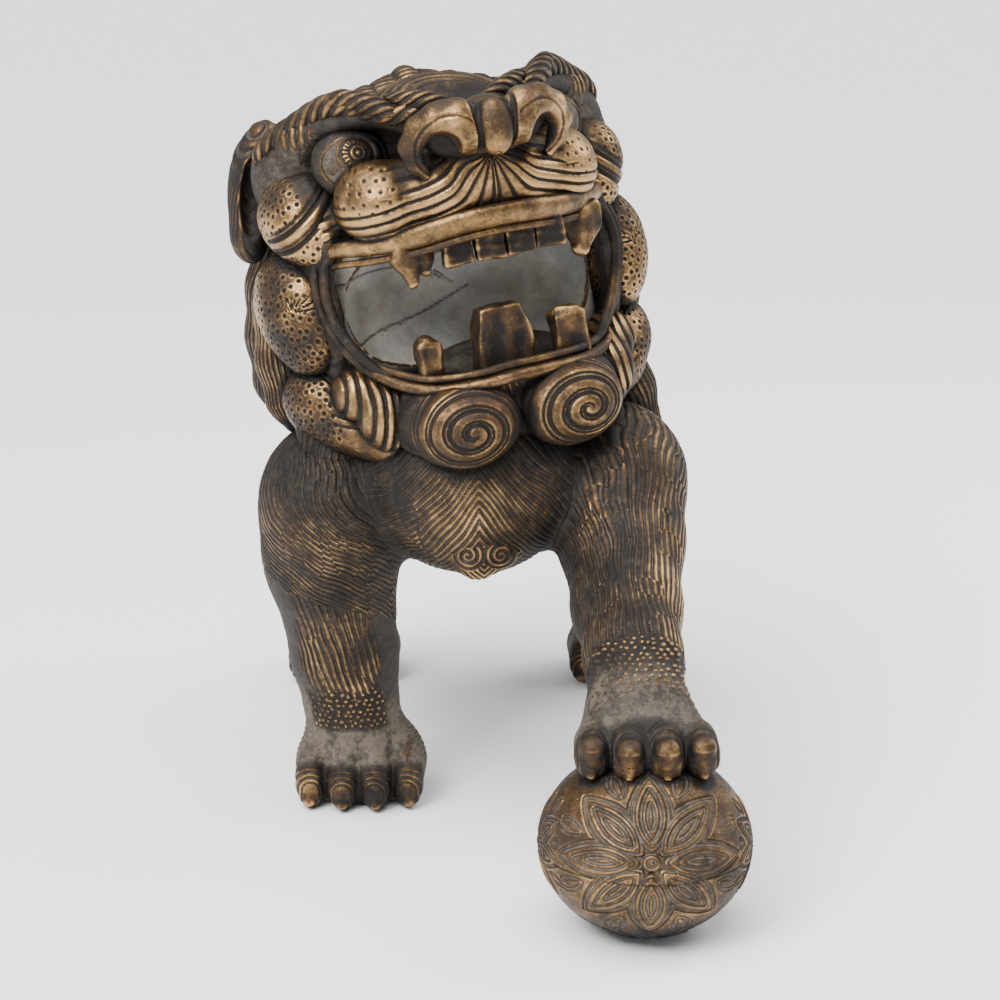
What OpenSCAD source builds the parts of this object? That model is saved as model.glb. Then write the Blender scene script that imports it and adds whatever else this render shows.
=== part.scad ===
// Standing guardian lion (foo dog) with one forepaw on a brocade ball.
// The figure is built as a foundry builds it: hollow castings for body, head and legs,
// joined by round sleeve joints, with the teeth, eyes, curls and locks as separate pieces.
// Frame: +Z up, the lion faces -Y, its own left side is +X. Origin under the middle, on the floor.

/* [Body] */
// Length of the trunk from breastbone to rump
barrel_length = 262; // [250:1:266]
// Height of the trunk's middle line above the floor
barrel_height = 144; // [140:1:148]
// Radius of the trunk behind the shoulders
barrel_radius = 43; // [40:1:46]
// Thickness of the cast bronze wall
wall = 5; // [4:0.5:7]

/* [Legs] */
// Half the distance between the left and right forelegs
stance = 55; // [52:1:58]
// Width of a paw
paw_width = 55; // [50:1:58]
// Radius of a forearm
forearm_radius = 21; // [18:0.5:22]
// Diameter of the round sleeve joint at the top of each leg
leg_sleeve_diameter = 26; // [20:1:30]

/* [Ball] */
// Diameter of the brocade ball
ball_diameter = 78; // [72:1:80]
// Share of the ball's height that is left after squashing
ball_squash = 0.88; // [0.84:0.01:0.92]
// Diameter of the dowel between ball and paw
pin_diameter = 8; // [6:0.5:10]

/* [Head] */
// Turn of the head towards the lion's left, in degrees
head_yaw = 19; // [15:1:20]
// Lean of the head towards the lion's right, in degrees
head_roll = 9; // [6:1:11]
// Height of the head's middle above the floor
head_height = 229; // [227:1:232]
// Half the width across the mouth corners
mouth_half_width = 52; // [48:1:54]
// Diameter of an eyeball
eye_diameter = 28; // [26:1:30]

/* [Tail] */
// Height of the tail's tip above the floor
tail_height = 294; // [284:1:298]

/* [Hidden] */

front_y = 51 - barrel_length / 2;
rear_y = 51 + barrel_length / 2;
head_centre = [-10, front_y + 60, head_height];
clearance = 0.1;
ball_radius = ball_diameter / 2;
ball_centre = [stance + 6, -144, ball_radius * ball_squash - 1];
paw_on_ball = [stance + 6, -137, 61];
floor_reach = 400;
bronze_dark = [0.27, 0.24, 0.21];
bronze_gold = [0.62, 0.47, 0.27];
mouth_grey = [0.36, 0.35, 0.33];
coarse = 12;
fine = 16;
round_facets = 32;

// -1 for the lion's right side, 1 for its left.
function side_sign(side) = side == "right" ? -1 : 1;

// Balls [x, y, z, radius] with the given amount taken off each radius.
function shrunk(balls, amount) = [for (b = balls) [b[0], b[1], b[2], b[3] - amount]];

module ball_at(b, facets) {
    translate([b[0], b[1], b[2]]) sphere(b[3], $fn = facets);
}

// A chain of balls, each hulled to the next.
module limb(balls, facets = coarse) {
    for (i = [0:len(balls) - 2]) hull() {
        ball_at(balls[i], facets);
        ball_at(balls[i + 1], facets);
    }
}

// One convex solid round all the balls.
module bundle(balls, facets = coarse) {
    hull() for (b = balls) ball_at(b, facets);
}

// Moves children from the head's own frame into the figure's.
module in_head() {
    translate(head_centre) rotate([0, -head_roll, head_yaw]) children();
}

// Keeps what is above the floor, so that the soles are flat.
module above_floor() {
    intersection() {
        children();
        translate([-floor_reach / 2, -floor_reach / 2, 0]) cube(floor_reach);
    }
}

// ---- trunk: a hollow barrel with breast, loins and a neck stump ----
function spine_balls() = [
    [0, front_y + 36, barrel_height + 2, 36],
    [0, front_y + 56, barrel_height + 2, barrel_radius + 3],
    [0, front_y + 100, barrel_height - 1, barrel_radius],
    [0, rear_y - 82, barrel_height - 4, barrel_radius - 3],
    [0, rear_y - 44, barrel_height - 4, barrel_radius + 1]];
function breast_balls() = [
    [-14, front_y + 38, barrel_height - 4, 34],
    [14, front_y + 38, barrel_height - 4, 34],
    [0, front_y + 34, barrel_height - 6, 30],
    [0, front_y + 26, barrel_height - 22, 14]];
function neck_balls() = [
    [-2, front_y + 68, barrel_height + 6, 42],
    [-5, front_y + 94, barrel_height + 42, 32]];

// The outside of the trunk, which the legs, tail and mane are cut to.
module trunk_outside(amount = 0) {
    limb(shrunk(spine_balls(), amount), fine);
    bundle(shrunk(breast_balls(), amount), fine);
    limb(shrunk(neck_balls(), amount), fine);
}

// Round sleeve joint along X, from inside the trunk's wall out into a leg on side s.
module leg_sleeve(s, y, z, radius) {
    translate([s * 26, y, z]) rotate([0, s * 90, 0]) cylinder(h = 24, r = radius, $fn = round_facets);
}
module tail_sleeve(radius) {
    translate([0, rear_y - 36, barrel_height + 20]) rotate([-20, 0, 0])
        cylinder(h = 30, r = radius, $fn = round_facets);
}
module all_sleeves(extra) {
    for (s = [-1, 1]) {
        leg_sleeve(s, shoulder_y, barrel_height, leg_sleeve_diameter / 2 + extra);
        leg_sleeve(s, haunch_y, barrel_height - 6, leg_sleeve_diameter / 2 + extra);
    }
    tail_sleeve(8 + extra);
}

module torso_shell() {
    color(bronze_dark) difference() {
        trunk_outside();
        trunk_outside(wall);
        all_sleeves(clearance);
        translate([-5, front_y + 94, barrel_height + 50]) cylinder(h = 40, r = 16, $fn = round_facets);
    }
}

// ---- legs ----
shoulder_y = front_y + 54;
haunch_y = rear_y - 52;

// A paw on the floor height centre[2]: a rounded pad, four toes and a claw on each.
module paw(centre, width, pad_height) {
    toe_pitch = width / 4.4;
    translate(centre) {
        bundle([[-width * 0.22, 4, pad_height * 0.46, pad_height * 0.5],
                [width * 0.22, 4, pad_height * 0.46, pad_height * 0.5],
                [0, -8, pad_height * 0.44, pad_height * 0.48]], fine);
        for (i = [0:3]) {
            spread = i - 1.5;
            toe_x = spread * toe_pitch;
            toe_y = -16 + abs(spread) * 4;
            bundle([[toe_x, toe_y + 12, pad_height * 0.44, 9], [toe_x, toe_y, 7.5, 8]]);
            bundle([[toe_x, toe_y - 3, 8, 5], [toe_x, toe_y - 7, 3.5, 3.5]], 10);
        }
    }
}

// Each leg from shoulder or haunch to wrist or heel.
function front_right_balls() = [
    [-stance - 4, shoulder_y - 2, barrel_height - 7, 28],
    [-stance - 5, shoulder_y + 3, 106, 26],
    [-stance - 1, shoulder_y + 14, 62, forearm_radius],
    [-stance + 1, shoulder_y + 18, 34, forearm_radius - 1]];
function front_left_balls() = [
    [stance - 1, shoulder_y - 4, barrel_height, 27],
    [stance + 1, -52, 124, 24],
    [stance + 2, -80, 103, forearm_radius - 1],
    [stance + 3, -106, 88, forearm_radius - 4],
    [stance + 3, -124, 80, forearm_radius - 5]];
function hind_balls(s) = [
    [s * (stance - 7), haunch_y, barrel_height - 12, 35],
    [s * (stance + 3), haunch_y - 22, 88, 24],
    [s * (stance + 9), haunch_y + 8, 60, 17],
    [s * (stance + 10), haunch_y + 34, 44, 15],
    [s * (stance + 12), haunch_y + 32, 24, 17]];

// The hollow that the casting core leaves in a leg, open through its sleeve into the trunk.
module leg_core(s, y, z, balls) {
    bore = leg_sleeve_diameter / 2 - 4;
    inner = [for (i = [1:len(balls) - 2]) [balls[i][0], balls[i][1], balls[i][2], balls[i][3] - wall - 1]];
    limb(concat([[s * 18, y, z, bore], [s * 52, y, z, bore]], inner), 10);
}

module front_right_leg() {
    color(bronze_dark) above_floor() difference() {
        union() {
            difference() {
                union() {
                    limb(front_right_balls(), fine);
                    paw([-stance + 4, shoulder_y + 17, 0], paw_width, 36);
                }
                trunk_outside();
            }
            leg_sleeve(-1, shoulder_y, barrel_height, leg_sleeve_diameter / 2);
        }
        leg_core(-1, shoulder_y, barrel_height, front_right_balls());
    }
}

module front_left_leg() {
    color(bronze_dark) difference() {
        union() {
            difference() {
                union() {
                    limb(front_left_balls(), fine);
                    paw(paw_on_ball, paw_width * 0.96, 26);
                }
                trunk_outside();
            }
            leg_sleeve(1, shoulder_y, barrel_height, leg_sleeve_diameter / 2);
        }
        leg_core(1, shoulder_y, barrel_height, front_left_balls());
        whole_ball();
        pin(clearance);
    }
}

module hind_leg(side) {
    s = side_sign(side);
    above_floor() difference() {
        union() {
            difference() {
                union() {
                    limb(hind_balls(s), fine);
                    paw([s * (stance + 14), haunch_y + 34, 0], paw_width, 33);
                }
                trunk_outside();
            }
            leg_sleeve(s, haunch_y, barrel_height - 6, leg_sleeve_diameter / 2);
        }
        leg_core(s, haunch_y, barrel_height - 6, hind_balls(s));
    }
}
module hind_right_leg() { color(bronze_dark) hind_leg("right"); }
module hind_left_leg() { color(bronze_dark) hind_leg("left"); }

// ---- ball under the lion's left forepaw, standing on a flat ----
module whole_ball() {
    translate(ball_centre) scale([1, 1, ball_squash]) sphere(ball_radius, $fn = 40);
}
module pin(extra) {
    translate([ball_centre[0] + 2, ball_centre[1] + 10, ball_centre[2] + 14])
        cylinder(h = 36, r = pin_diameter / 2 + extra, $fn = 24);
}
module ball_pin() { color(bronze_gold) pin(0); }
module brocade_ball() {
    color(bronze_gold) above_floor() difference() {
        whole_ball();
        pin(clearance);
        translate(ball_centre - [0, 0, 4]) sphere(ball_radius * ball_squash - 14, $fn = 40);
    }
}

// ---- tail: an upright plume with a curl on each side of its root ----
function plume_balls() = [
    [0, rear_y - 26, barrel_height + 30, 14],
    [0, rear_y - 15, barrel_height + 50, 14],
    [-4, rear_y - 19, barrel_height + 80, 19],
    [-14, rear_y - 24, barrel_height + 110, 18],
    [-24, rear_y - 32, tail_height - 20, 15],
    [-32, rear_y - 40, tail_height - 10, 10]];
module tail_plume() {
    color(bronze_dark) {
        difference() {
            limb(plume_balls(), coarse);
            trunk_outside();
        }
        tail_sleeve(8);
    }
}
module tail_curl(side) {
    s = side_sign(side);
    difference() {
        limb([[s * 14, rear_y - 20, barrel_height + 50, 11],
              [s * 27, rear_y - 22, barrel_height + 62, 11],
              [s * 29, rear_y - 24, barrel_height + 80, 9]], coarse);
        limb(plume_balls(), coarse);
    }
}
module tail_curl_right() { color(bronze_dark) tail_curl("right"); }
module tail_curl_left() { color(bronze_dark) tail_curl("left"); }

module chest_tuft() {
    color(bronze_gold) difference() {
        bundle([[-5, front_y + 19, barrel_height - 19, 13],
                [5, front_y + 19, barrel_height - 19, 13],
                [0, front_y + 18, barrel_height - 28, 8]], fine);
        trunk_outside();
    }
}

// ---- head, in its own frame: X to the lion's left, -Y forward, Z up ----
function skull_balls() = [
    [-34, -2, 38, 26], [34, -2, 38, 26], [-32, 26, 32, 26], [32, 26, 32, 26],
    [0, 4, 46, 27], [-30, 30, -8, 28], [30, 30, -8, 28]];
function muzzle_balls() = [[-34, -34, 36, 14], [34, -34, 36, 14], [0, -44, 38, 17], [0, 0, 38, 24]];
function cheek_balls(s) = [[s * 51, 2, 28, 14], [s * 55, 6, -8, 12], [s * 50, 0, -44, 14],
                           [s * 38, 28, -10, 22]];
function jaw_balls() = [[-28, -45, -50, 13], [28, -45, -50, 13], [-42, -12, -50, 13], [42, -12, -50, 13]];
function chin_balls(s) = [[s * 21, -52, -51, 18], [s * 21, -56, -51, 16]];

module eyeball(s, extra = 0) {
    translate([s * 40, -17, 49]) sphere(eye_diameter / 2 + extra, $fn = round_facets);
}
module skull_outside() {
    bundle(skull_balls(), fine);
    bundle(muzzle_balls(), fine);
    for (s = [-1, 1]) bundle(cheek_balls(s), coarse);
}
module jaw_outside() { bundle(jaw_balls(), coarse); }

// The open mouth, from the palate down to the lower jaw.
module mouth_space() {
    inner = mouth_half_width - 12;
    bundle([[-inner, -8, 8, 12], [inner, -8, 8, 12], [-inner, -8, -32, 12], [inner, -8, -32, 12],
            [-30, -80, 8, 12], [30, -80, 8, 12], [-30, -80, -48, 12], [30, -80, -48, 12]]);
}

module skull_shell() {
    color(bronze_dark) difference() {
        in_head() difference() {
            skull_outside();
            mouth_space();
            bundle(shrunk(skull_balls(), wall + 2), coarse);
            for (s = [-1, 1]) {
                eyeball(s, clearance);
                upper_fang_at(s);
            }
            upper_incisors_at();
            jaw_outside();
        }
        trunk_outside();
    }
}

module lower_jaw() {
    color(bronze_dark) difference() {
        in_head() difference() {
            jaw_outside();
            bundle([[-22, -40, -28, 8], [22, -40, -28, 8], [-36, -12, -28, 10], [36, -12, -28, 10]], 12);
            for (s = [-1, 1]) lower_fang_at(s);
            lower_incisor_at();
        }
        trunk_outside();
    }
}

// A curved plate that closes the back of the mouth, inside the skull's hollow.
module mouth_liner() {
    color(mouth_grey) in_head() intersection() {
        translate([0, 46, -34]) difference() {
            cylinder(h = 54, r = 52, $fn = 64);
            translate([0, 0, -1]) cylinder(h = 56, r = 48.5, $fn = 64);
        }
        translate([-36, -8, -36]) cube([72, 30, 58]);
        bundle(shrunk(skull_balls(), wall + 2.5), coarse);
    }
}

nose_offset = 3;
module nose() {
    color(bronze_gold) in_head() difference() {
        translate([nose_offset, 0, 0]) union() {
            limb([[-27, -52, 48, 5], [-24, -56, 58, 7], [-12, -60, 62, 7.5], [0, -61, 58, 8],
                  [12, -60, 62, 7.5], [24, -56, 58, 7], [27, -52, 48, 5]], coarse);
            bundle([[-3, -64, 58, 6], [3.5, -64, 58, 6], [0, -66, 47, 5]], 12);
        }
        bundle(muzzle_balls(), fine);
    }
}

// One tooth: a tapered block with rounded corners, standing on its root at the origin.
module tooth(width, depth, height) {
    hull() for (x = [-1, 1]) for (y = [-1, 1]) {
        translate([x * (width / 2 - 1), y * (depth / 2 - 1), 0]) cylinder(h = height / 2, r = 1, $fn = 8);
        translate([x * (width / 3 - 1), y * (depth / 3 - 1), height - 1]) sphere(1, $fn = 8);
    }
}

module upper_incisors_at() {
    row_width = 46;
    row_middle = 4.5;
    for (i = [0:3]) translate([row_middle + (i - 1.5) * row_width / 4, -50 + abs(i - 1.5) * 1.4, 25])
        rotate([180, 0, 0]) tooth(row_width / 4 - 0.6, 6, 13);
    translate([row_middle - row_width / 2, -49, 23]) cube([row_width, 4, 4]);
}
module upper_incisors() { color(bronze_dark) in_head() upper_incisors_at(); }

module lower_incisor_at() { translate([0, -47, -38.5]) tooth(19, 9, 22); }
module lower_incisor() { color(bronze_gold) in_head() lower_incisor_at(); }

// A fang: a cone with a rounded tip.
module fang(radius, height) {
    hull() {
        cylinder(h = 2, r = radius, $fn = 16);
        translate([0, 0, height - 2]) sphere(2, $fn = 10);
    }
}
module upper_fang_at(s) { translate([s > 0 ? 40 : -29, -42, 25]) rotate([180, 0, 0]) fang(8, 26); }
module lower_fang_at(s) { translate([s * 28, -43, -38.5]) fang(6, 20); }
module upper_fang_right() { color(bronze_gold) in_head() upper_fang_at(-1); }
module upper_fang_left() { color(bronze_gold) in_head() upper_fang_at(1); }
module lower_fang_right() { color(bronze_gold) in_head() lower_fang_at(-1); }
module lower_fang_left() { color(bronze_gold) in_head() lower_fang_at(1); }

module eye(side) { in_head() eyeball(side_sign(side)); }
module eye_right() { color(bronze_dark) eye("right"); }
module eye_left() { color(bronze_dark) eye("left"); }

module brow(side) {
    s = side_sign(side);
    in_head() difference() {
        limb([[s * 10, -43, 63, 5], [s * 22, -38, 66, 5.5], [s * 34, -30, 68, 6], [s * 48, -18, 66, 6],
              [s * 60, -6, 60, 6], [s * 68, 4, 52, 5]], coarse);
        bundle(skull_balls(), fine);
        bundle(muzzle_balls(), fine);
        eyeball(s, clearance);
    }
}
module brow_right() { color(bronze_gold) brow("right"); }
module brow_left() { color(bronze_gold) brow("left"); }

// Each of the four dimpled curls down one cheek, as two balls.
function cheek_curl_balls(s, n) =
    n == 1 ? [[s * 60, -4, 30, 15], [s * 62, 3, 22, 14]] :
    n == 2 ? [[s * 64, -2, -1, 16], [s * 64, -2, -14, 15]] :
    n == 3 ? [[s * 61, -4, -42, 14], [s * 56, -11, -51, 13]] :
             [[s * 49, -27, -49, 11], [s * 44, -33, -52, 11]];

function ear_balls(s) = [[s * 66, 22, 57, 7], [s * 76, 30, 32, 7], [s * 62, 26, 34, 7], [s * 75, 28, 13, 4]];

module ear(side) {
    s = side_sign(side);
    in_head() difference() {
        bundle(ear_balls(s));
        bundle(cheek_balls(s), coarse);
        bundle(skull_balls(), fine);
        bundle(cheek_curl_balls(s, 1), coarse);
        limb([[s * 60, -6, 60, 6], [s * 68, 4, 52, 5]], coarse);
    }
}
module ear_right() { color(bronze_dark) ear("right"); }
module ear_left() { color(bronze_dark) ear("left"); }

module chin_curl(side) {
    s = side_sign(side);
    difference() {
        in_head() difference() {
            bundle(chin_balls(s), fine);
            jaw_outside();
            lower_fang_at(s);
            translate([s > 0 ? -60 : 0, -100, -100]) cube([60, 100, 100]);
        }
        trunk_outside();
    }
}
module chin_curl_right() { color(bronze_gold) chin_curl("right"); }
module chin_curl_left() { color(bronze_gold) chin_curl("left"); }

module cheek_curl(side, n) {
    s = side_sign(side);
    difference() {
        in_head() difference() {
            bundle(cheek_curl_balls(s, n), coarse);
            bundle(cheek_balls(s), coarse);
            bundle(skull_balls(), fine);
            jaw_outside();
            if (n > 1) bundle(cheek_curl_balls(s, n - 1), coarse);
            if (n == 4) bundle(chin_balls(s), fine);
        }
        trunk_outside();
        if (n > 2) shoulder_space(s);
    }
}
module cheek_curl_right_1() { color(bronze_gold) cheek_curl("right", 1); }
module cheek_curl_right_2() { color(bronze_gold) cheek_curl("right", 2); }
module cheek_curl_right_3() { color(bronze_gold) cheek_curl("right", 3); }
module cheek_curl_right_4() { color(bronze_gold) cheek_curl("right", 4); }
module cheek_curl_left_1() { color(bronze_gold) cheek_curl("left", 1); }
module cheek_curl_left_2() { color(bronze_gold) cheek_curl("left", 2); }
module cheek_curl_left_3() { color(bronze_gold) cheek_curl("left", 3); }
module cheek_curl_left_4() { color(bronze_gold) cheek_curl("left", 4); }

// Each hanging lock of the mane on one side, front to back, from root to tip.
function lock_balls(s, n) =
    n == 1 ? [[s * 58, 22, 8, 12], [s * 67, 20, -22, 12], [s * 71, 20, -46, 9]] :
    n == 2 ? [[s * 50, 14, -34, 15], [s * 61, 1, -60, 14], [s * 64, -5, -84, 10]] :
    n == 3 ? [[s * 52, 44, 14, 15], [s * 63, 50, -18, 15], [s * 65, 56, -48, 11]] :
             [[s * 32, 56, 20, 17], [s * 38, 68, -16, 17], [s * 38, 76, -50, 13]];

module mane_lock(side, n) {
    s = side_sign(side);
    difference() {
        in_head() limb(lock_balls(s, n), coarse);
        trunk_outside();
        if (n < 3) shoulder_space(s);
        in_head() {
            bundle(skull_balls(), fine);
            bundle(cheek_balls(s), coarse);
            if (n < 3) for (c = [1, 2, 3]) bundle(cheek_curl_balls(s, c), coarse);
            if (n == 2) jaw_outside();
            if (n == 1) ear_space(s);
            if (n > 1) for (earlier = [1:n - 1]) limb(lock_balls(s, earlier), coarse);
        }
    }
}
module ear_space(s) {
    bundle(ear_balls(s));
}
module shoulder_space(s) {
    balls = s < 0 ? front_right_balls() : front_left_balls();
    limb([balls[0], balls[1]], fine);
}
module mane_lock_right_1() { color(bronze_dark) mane_lock("right", 1); }
module mane_lock_right_2() { color(bronze_dark) mane_lock("right", 2); }
module mane_lock_right_3() { color(bronze_dark) mane_lock("right", 3); }
module mane_lock_right_4() { color(bronze_dark) mane_lock("right", 4); }
module mane_lock_left_1() { color(bronze_dark) mane_lock("left", 1); }
module mane_lock_left_2() { color(bronze_dark) mane_lock("left", 2); }
module mane_lock_left_3() { color(bronze_dark) mane_lock("left", 3); }
module mane_lock_left_4() { color(bronze_dark) mane_lock("left", 4); }

module mane_lock_back() {
    color(bronze_dark) difference() {
        in_head() limb([[0, 60, 26, 16], [0, 76, -10, 17], [2, 84, -44, 14], [4, 88, -64, 8]], coarse);
        trunk_outside();
        in_head() {
            bundle(skull_balls(), fine);
            for (s = [-1, 1]) limb(lock_balls(s, 4), coarse);
        }
    }
}

// A low fringe of curls across the top of the head, behind the forehead.
module crown_curls() {
    color(bronze_dark) in_head() difference() {
        limb([for (i = [0:6]) [(i - 3) * 15, 30 - abs(i - 3), 66 - abs(i - 3) * 4.2, 8.5]], 12);
        bundle(skull_balls(), fine);
        for (s = [-1, 1]) ear_space(s);
    }
}

torso_shell();
front_right_leg();
front_left_leg();
hind_right_leg();
hind_left_leg();
brocade_ball();
ball_pin();
tail_plume();
tail_curl_right();
tail_curl_left();
chest_tuft();
skull_shell();
lower_jaw();
mouth_liner();
nose();
upper_incisors();
lower_incisor();
upper_fang_right();
upper_fang_left();
lower_fang_right();
lower_fang_left();
eye_right();
eye_left();
brow_right();
brow_left();
ear_right();
ear_left();
chin_curl_right();
chin_curl_left();
cheek_curl_right_1();
cheek_curl_right_2();
cheek_curl_right_3();
cheek_curl_right_4();
cheek_curl_left_1();
cheek_curl_left_2();
cheek_curl_left_3();
cheek_curl_left_4();
mane_lock_right_1();
mane_lock_right_2();
mane_lock_right_3();
mane_lock_right_4();
mane_lock_left_1();
mane_lock_left_2();
mane_lock_left_3();
mane_lock_left_4();
mane_lock_back();
crown_curls();
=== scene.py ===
import math
import bpy
import numpy as np
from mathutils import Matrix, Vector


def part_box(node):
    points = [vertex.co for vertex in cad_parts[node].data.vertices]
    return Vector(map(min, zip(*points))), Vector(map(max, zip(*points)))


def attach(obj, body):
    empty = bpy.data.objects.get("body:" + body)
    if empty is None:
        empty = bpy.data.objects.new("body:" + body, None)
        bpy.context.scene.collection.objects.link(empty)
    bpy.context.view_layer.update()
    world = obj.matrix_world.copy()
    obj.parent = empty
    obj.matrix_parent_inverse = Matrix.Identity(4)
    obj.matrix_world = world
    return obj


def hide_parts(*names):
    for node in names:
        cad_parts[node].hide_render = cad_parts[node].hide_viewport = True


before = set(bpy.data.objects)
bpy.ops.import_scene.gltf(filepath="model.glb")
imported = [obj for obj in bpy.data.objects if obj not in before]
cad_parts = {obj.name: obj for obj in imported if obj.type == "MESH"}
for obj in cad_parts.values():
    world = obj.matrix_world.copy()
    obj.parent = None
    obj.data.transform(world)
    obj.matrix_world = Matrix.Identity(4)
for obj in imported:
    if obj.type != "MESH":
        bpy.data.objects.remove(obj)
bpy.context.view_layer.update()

BODY = "root"
MM = 0.001
CELL = 0.66          # mesh spacing on chased surfaces, mm
F = np.float32


# ---------------------------------------------------------------- fields
# A field takes points as an array of three rows (x, y, z in mm) and gives signed distance.

def placed(p, c, turn):
    """Points measured from c, in the frame of the 3x3 matrix turn."""
    q = [p[i] - F(c[i]) for i in range(3)]
    if turn is not None:
        q = [q[0] * F(turn[0][i]) + q[1] * F(turn[1][i]) + q[2] * F(turn[2][i]) for i in range(3)]
    return q


def egg(c, r, turn=None):
    """Ellipsoid with radii r, turned by a 3x3 matrix."""
    def f(p):
        q = placed(p, c, turn)
        a = sum((q[i] / F(r[i])) ** 2 for i in range(3))
        b = sum((q[i] / F(r[i] * r[i])) ** 2 for i in range(3))
        k = np.sqrt(a)
        return k * (k - 1) / np.sqrt(b + 1e-9)
    return f


def limb(a, b, ra, rb):
    """Round cone from a to b."""
    ab = np.subtract(b, a)
    n = float(ab @ ab) + 1e-9

    def f(p):
        q = [p[i] - F(a[i]) for i in range(3)]
        t = np.clip((q[0] * F(ab[0]) + q[1] * F(ab[1]) + q[2] * F(ab[2])) / F(n), 0, 1)
        d = (q[0] - t * F(ab[0])) ** 2 + (q[1] - t * F(ab[1])) ** 2 + (q[2] - t * F(ab[2])) ** 2
        return np.sqrt(d) - (F(ra) + F(rb - ra) * t)
    return f


def block(c, half, round_r, turn=None):
    """Box with rounded edges."""
    def f(p):
        q = placed(p, c, turn)
        w = [np.abs(q[i]) - F(half[i] - round_r) for i in range(3)]
        out = np.sqrt(sum(np.maximum(x, 0) ** 2 for x in w))
        return out + np.minimum(np.maximum(np.maximum(w[0], w[1]), w[2]), 0) - F(round_r)
    return f


def smin(a, b, k):
    h = np.maximum(k - np.abs(a - b), 0) / k
    return np.minimum(a, b) - h * h * (k * 0.25)


def smax(a, b, k):
    return -smin(-a, -b, k)


def join(k, *fields):
    def f(p):
        d = fields[0](p)
        for g in fields[1:]:
            d = smin(d, g(p), k) if k > 0 else np.minimum(d, g(p))
        return d
    return f


def cut(k, base, *tools):
    def f(p):
        d = base(p)
        for g in tools:
            d = smax(d, -g(p), k)
        return d
    return f


def chain(balls, k=1.5):
    """Round cones through a list of (x, y, z, radius)."""
    parts = [limb(a[:3], b[:3], a[3], b[3]) for a, b in zip(balls[:-1], balls[1:])]
    return join(k, *parts) if len(parts) > 1 else parts[0]


def room(balls, gap):
    """The box round a chain of balls, gap wider on every side."""
    b = np.array(balls, float)
    return (b[:, :3] - b[:, 3:]).min(0) - gap, (b[:, :3] + b[:, 3:]).max(0) + gap


def mirror(field):
    def f(p):
        return field(np.stack([np.abs(p[0]), p[1], p[2]]))
    return f


def at_side(field, side):
    """A field drawn for x > 0, moved to the given side (-1 or 1)."""
    def f(p):
        return field(np.stack([p[0] * side, p[1], p[2]]))
    return f


def unit(v):
    return v / np.linalg.norm(v)


def dot(q, d):
    return q[0] * d[0] + q[1] * d[1] + q[2] * d[2]


def turn_y(a):
    return np.array([[math.cos(a), 0, math.sin(a)], [0, 1, 0], [-math.sin(a), 0, math.cos(a)]])


def turn_z(a):
    return np.array([[math.cos(a), -math.sin(a), 0], [math.sin(a), math.cos(a), 0], [0, 0, 1]])


def turn_x(a):
    return np.array([[1, 0, 0], [0, math.cos(a), -math.sin(a)], [0, math.sin(a), math.cos(a)]])


# ---------------------------------------------------------------- surface patterns

def waves(p, size, seed, n=6):
    """Smooth noise between about -1 and 1, with features of the given size in mm."""
    rng = np.random.RandomState(seed)
    out = np.zeros_like(p[0])
    for _ in range(n):
        d = unit(rng.normal(size=3))
        w = 2 * math.pi / (size * rng.uniform(1.2, 3.2))
        out += np.sin(dot(p, d) * w + rng.uniform(0, 6.3))
    return out / n * 1.7


def step(lo, hi, x):
    t = np.clip((x - lo) / (hi - lo), 0, 1)
    return t * t * (3 - 2 * t)


def bell(x, width):
    """1 where x is 0, falling away smoothly over the given width."""
    return np.exp(-(x / width) ** 2)


def off_ridge(u):
    """0 on the middle of each unit of u, rising to 1 on the grooves between them."""
    return np.abs((u % 1.0) - 0.5) * 2


def strands(u, amount, sharp=2.6):
    """Rounded strands one unit of u apart with narrow grooves between them: height from 0 down to -1."""
    return -amount * off_ridge(u) ** sharp


def tuck(u, along, length=26.0):
    """Each groove of u its own depth, fading in and out along its length."""
    k = np.round(u)
    a = np.sin(k * 12.9898) * 43758.5453
    b = np.sin(k * 78.233) * 12543.1234
    a, b = a - np.floor(a), b - np.floor(b)
    fade = 0.5 + 0.5 * np.sin(along / (length * (0.6 + 0.8 * b)) * 2 * math.pi + a * 40)
    return np.clip(0.35 + 0.4 * a + 0.5 * fade, 0, 1)


def dots(a, b, pitch, seed, jitter=0.28):
    """Distance in mm to the nearest of jittered lattice points on the plane (a, b)."""
    rows = pitch * 0.866
    best = np.full_like(a, 99.0)
    j0 = np.floor(b / rows)
    for dj in (-1, 0, 1):
        j = j0 + dj
        shift = (j % 2) * 0.5
        i0 = np.floor(a / pitch - shift)
        for di in (-1, 0, 1, 2):
            i = i0 + di
            h = np.sin(i * 127.1 + j * 311.7 + seed) * 43758.5453
            h2 = np.sin(i * 269.5 + j * 183.3 + seed) * 24634.6345
            ca = (i + shift + (h - np.floor(h) - 0.5) * jitter * 2) * pitch
            cb = (j + (h2 - np.floor(h2) - 0.5) * jitter * 2) * rows
            best = np.minimum(best, np.hypot(a - ca, b - cb))
    return best


def scattered(p, pitch, seed):
    """Distance to the nearest of many centres spread evenly over the surface."""
    rng = np.random.default_rng(seed)
    pts = p.T
    centres = np.empty((0, 3), F)
    for c in pts[rng.permutation(len(pts))[:4000]]:
        if not len(centres) or ((centres - c) ** 2).sum(1).min() > pitch * pitch:
            centres = np.vstack([centres, c])
    d = np.full(len(pts), 99.0, F)
    for c in centres:
        d = np.minimum(d, ((pts - c) ** 2).sum(1))
    return np.sqrt(d)


def punched(d, radius=0.85, rim=0.35):
    return -bell(d, radius) + rim * bell(d - radius * 1.9, 0.45)


def spiral(a, b, pitch, turn, arms=1):
    """Turns counted outwards along a spiral groove on the plane (a, b)."""
    return np.hypot(a, b) / pitch + turn * arms * np.arctan2(b, a) / (2 * math.pi)


# ---------------------------------------------------------------- meshing

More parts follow.
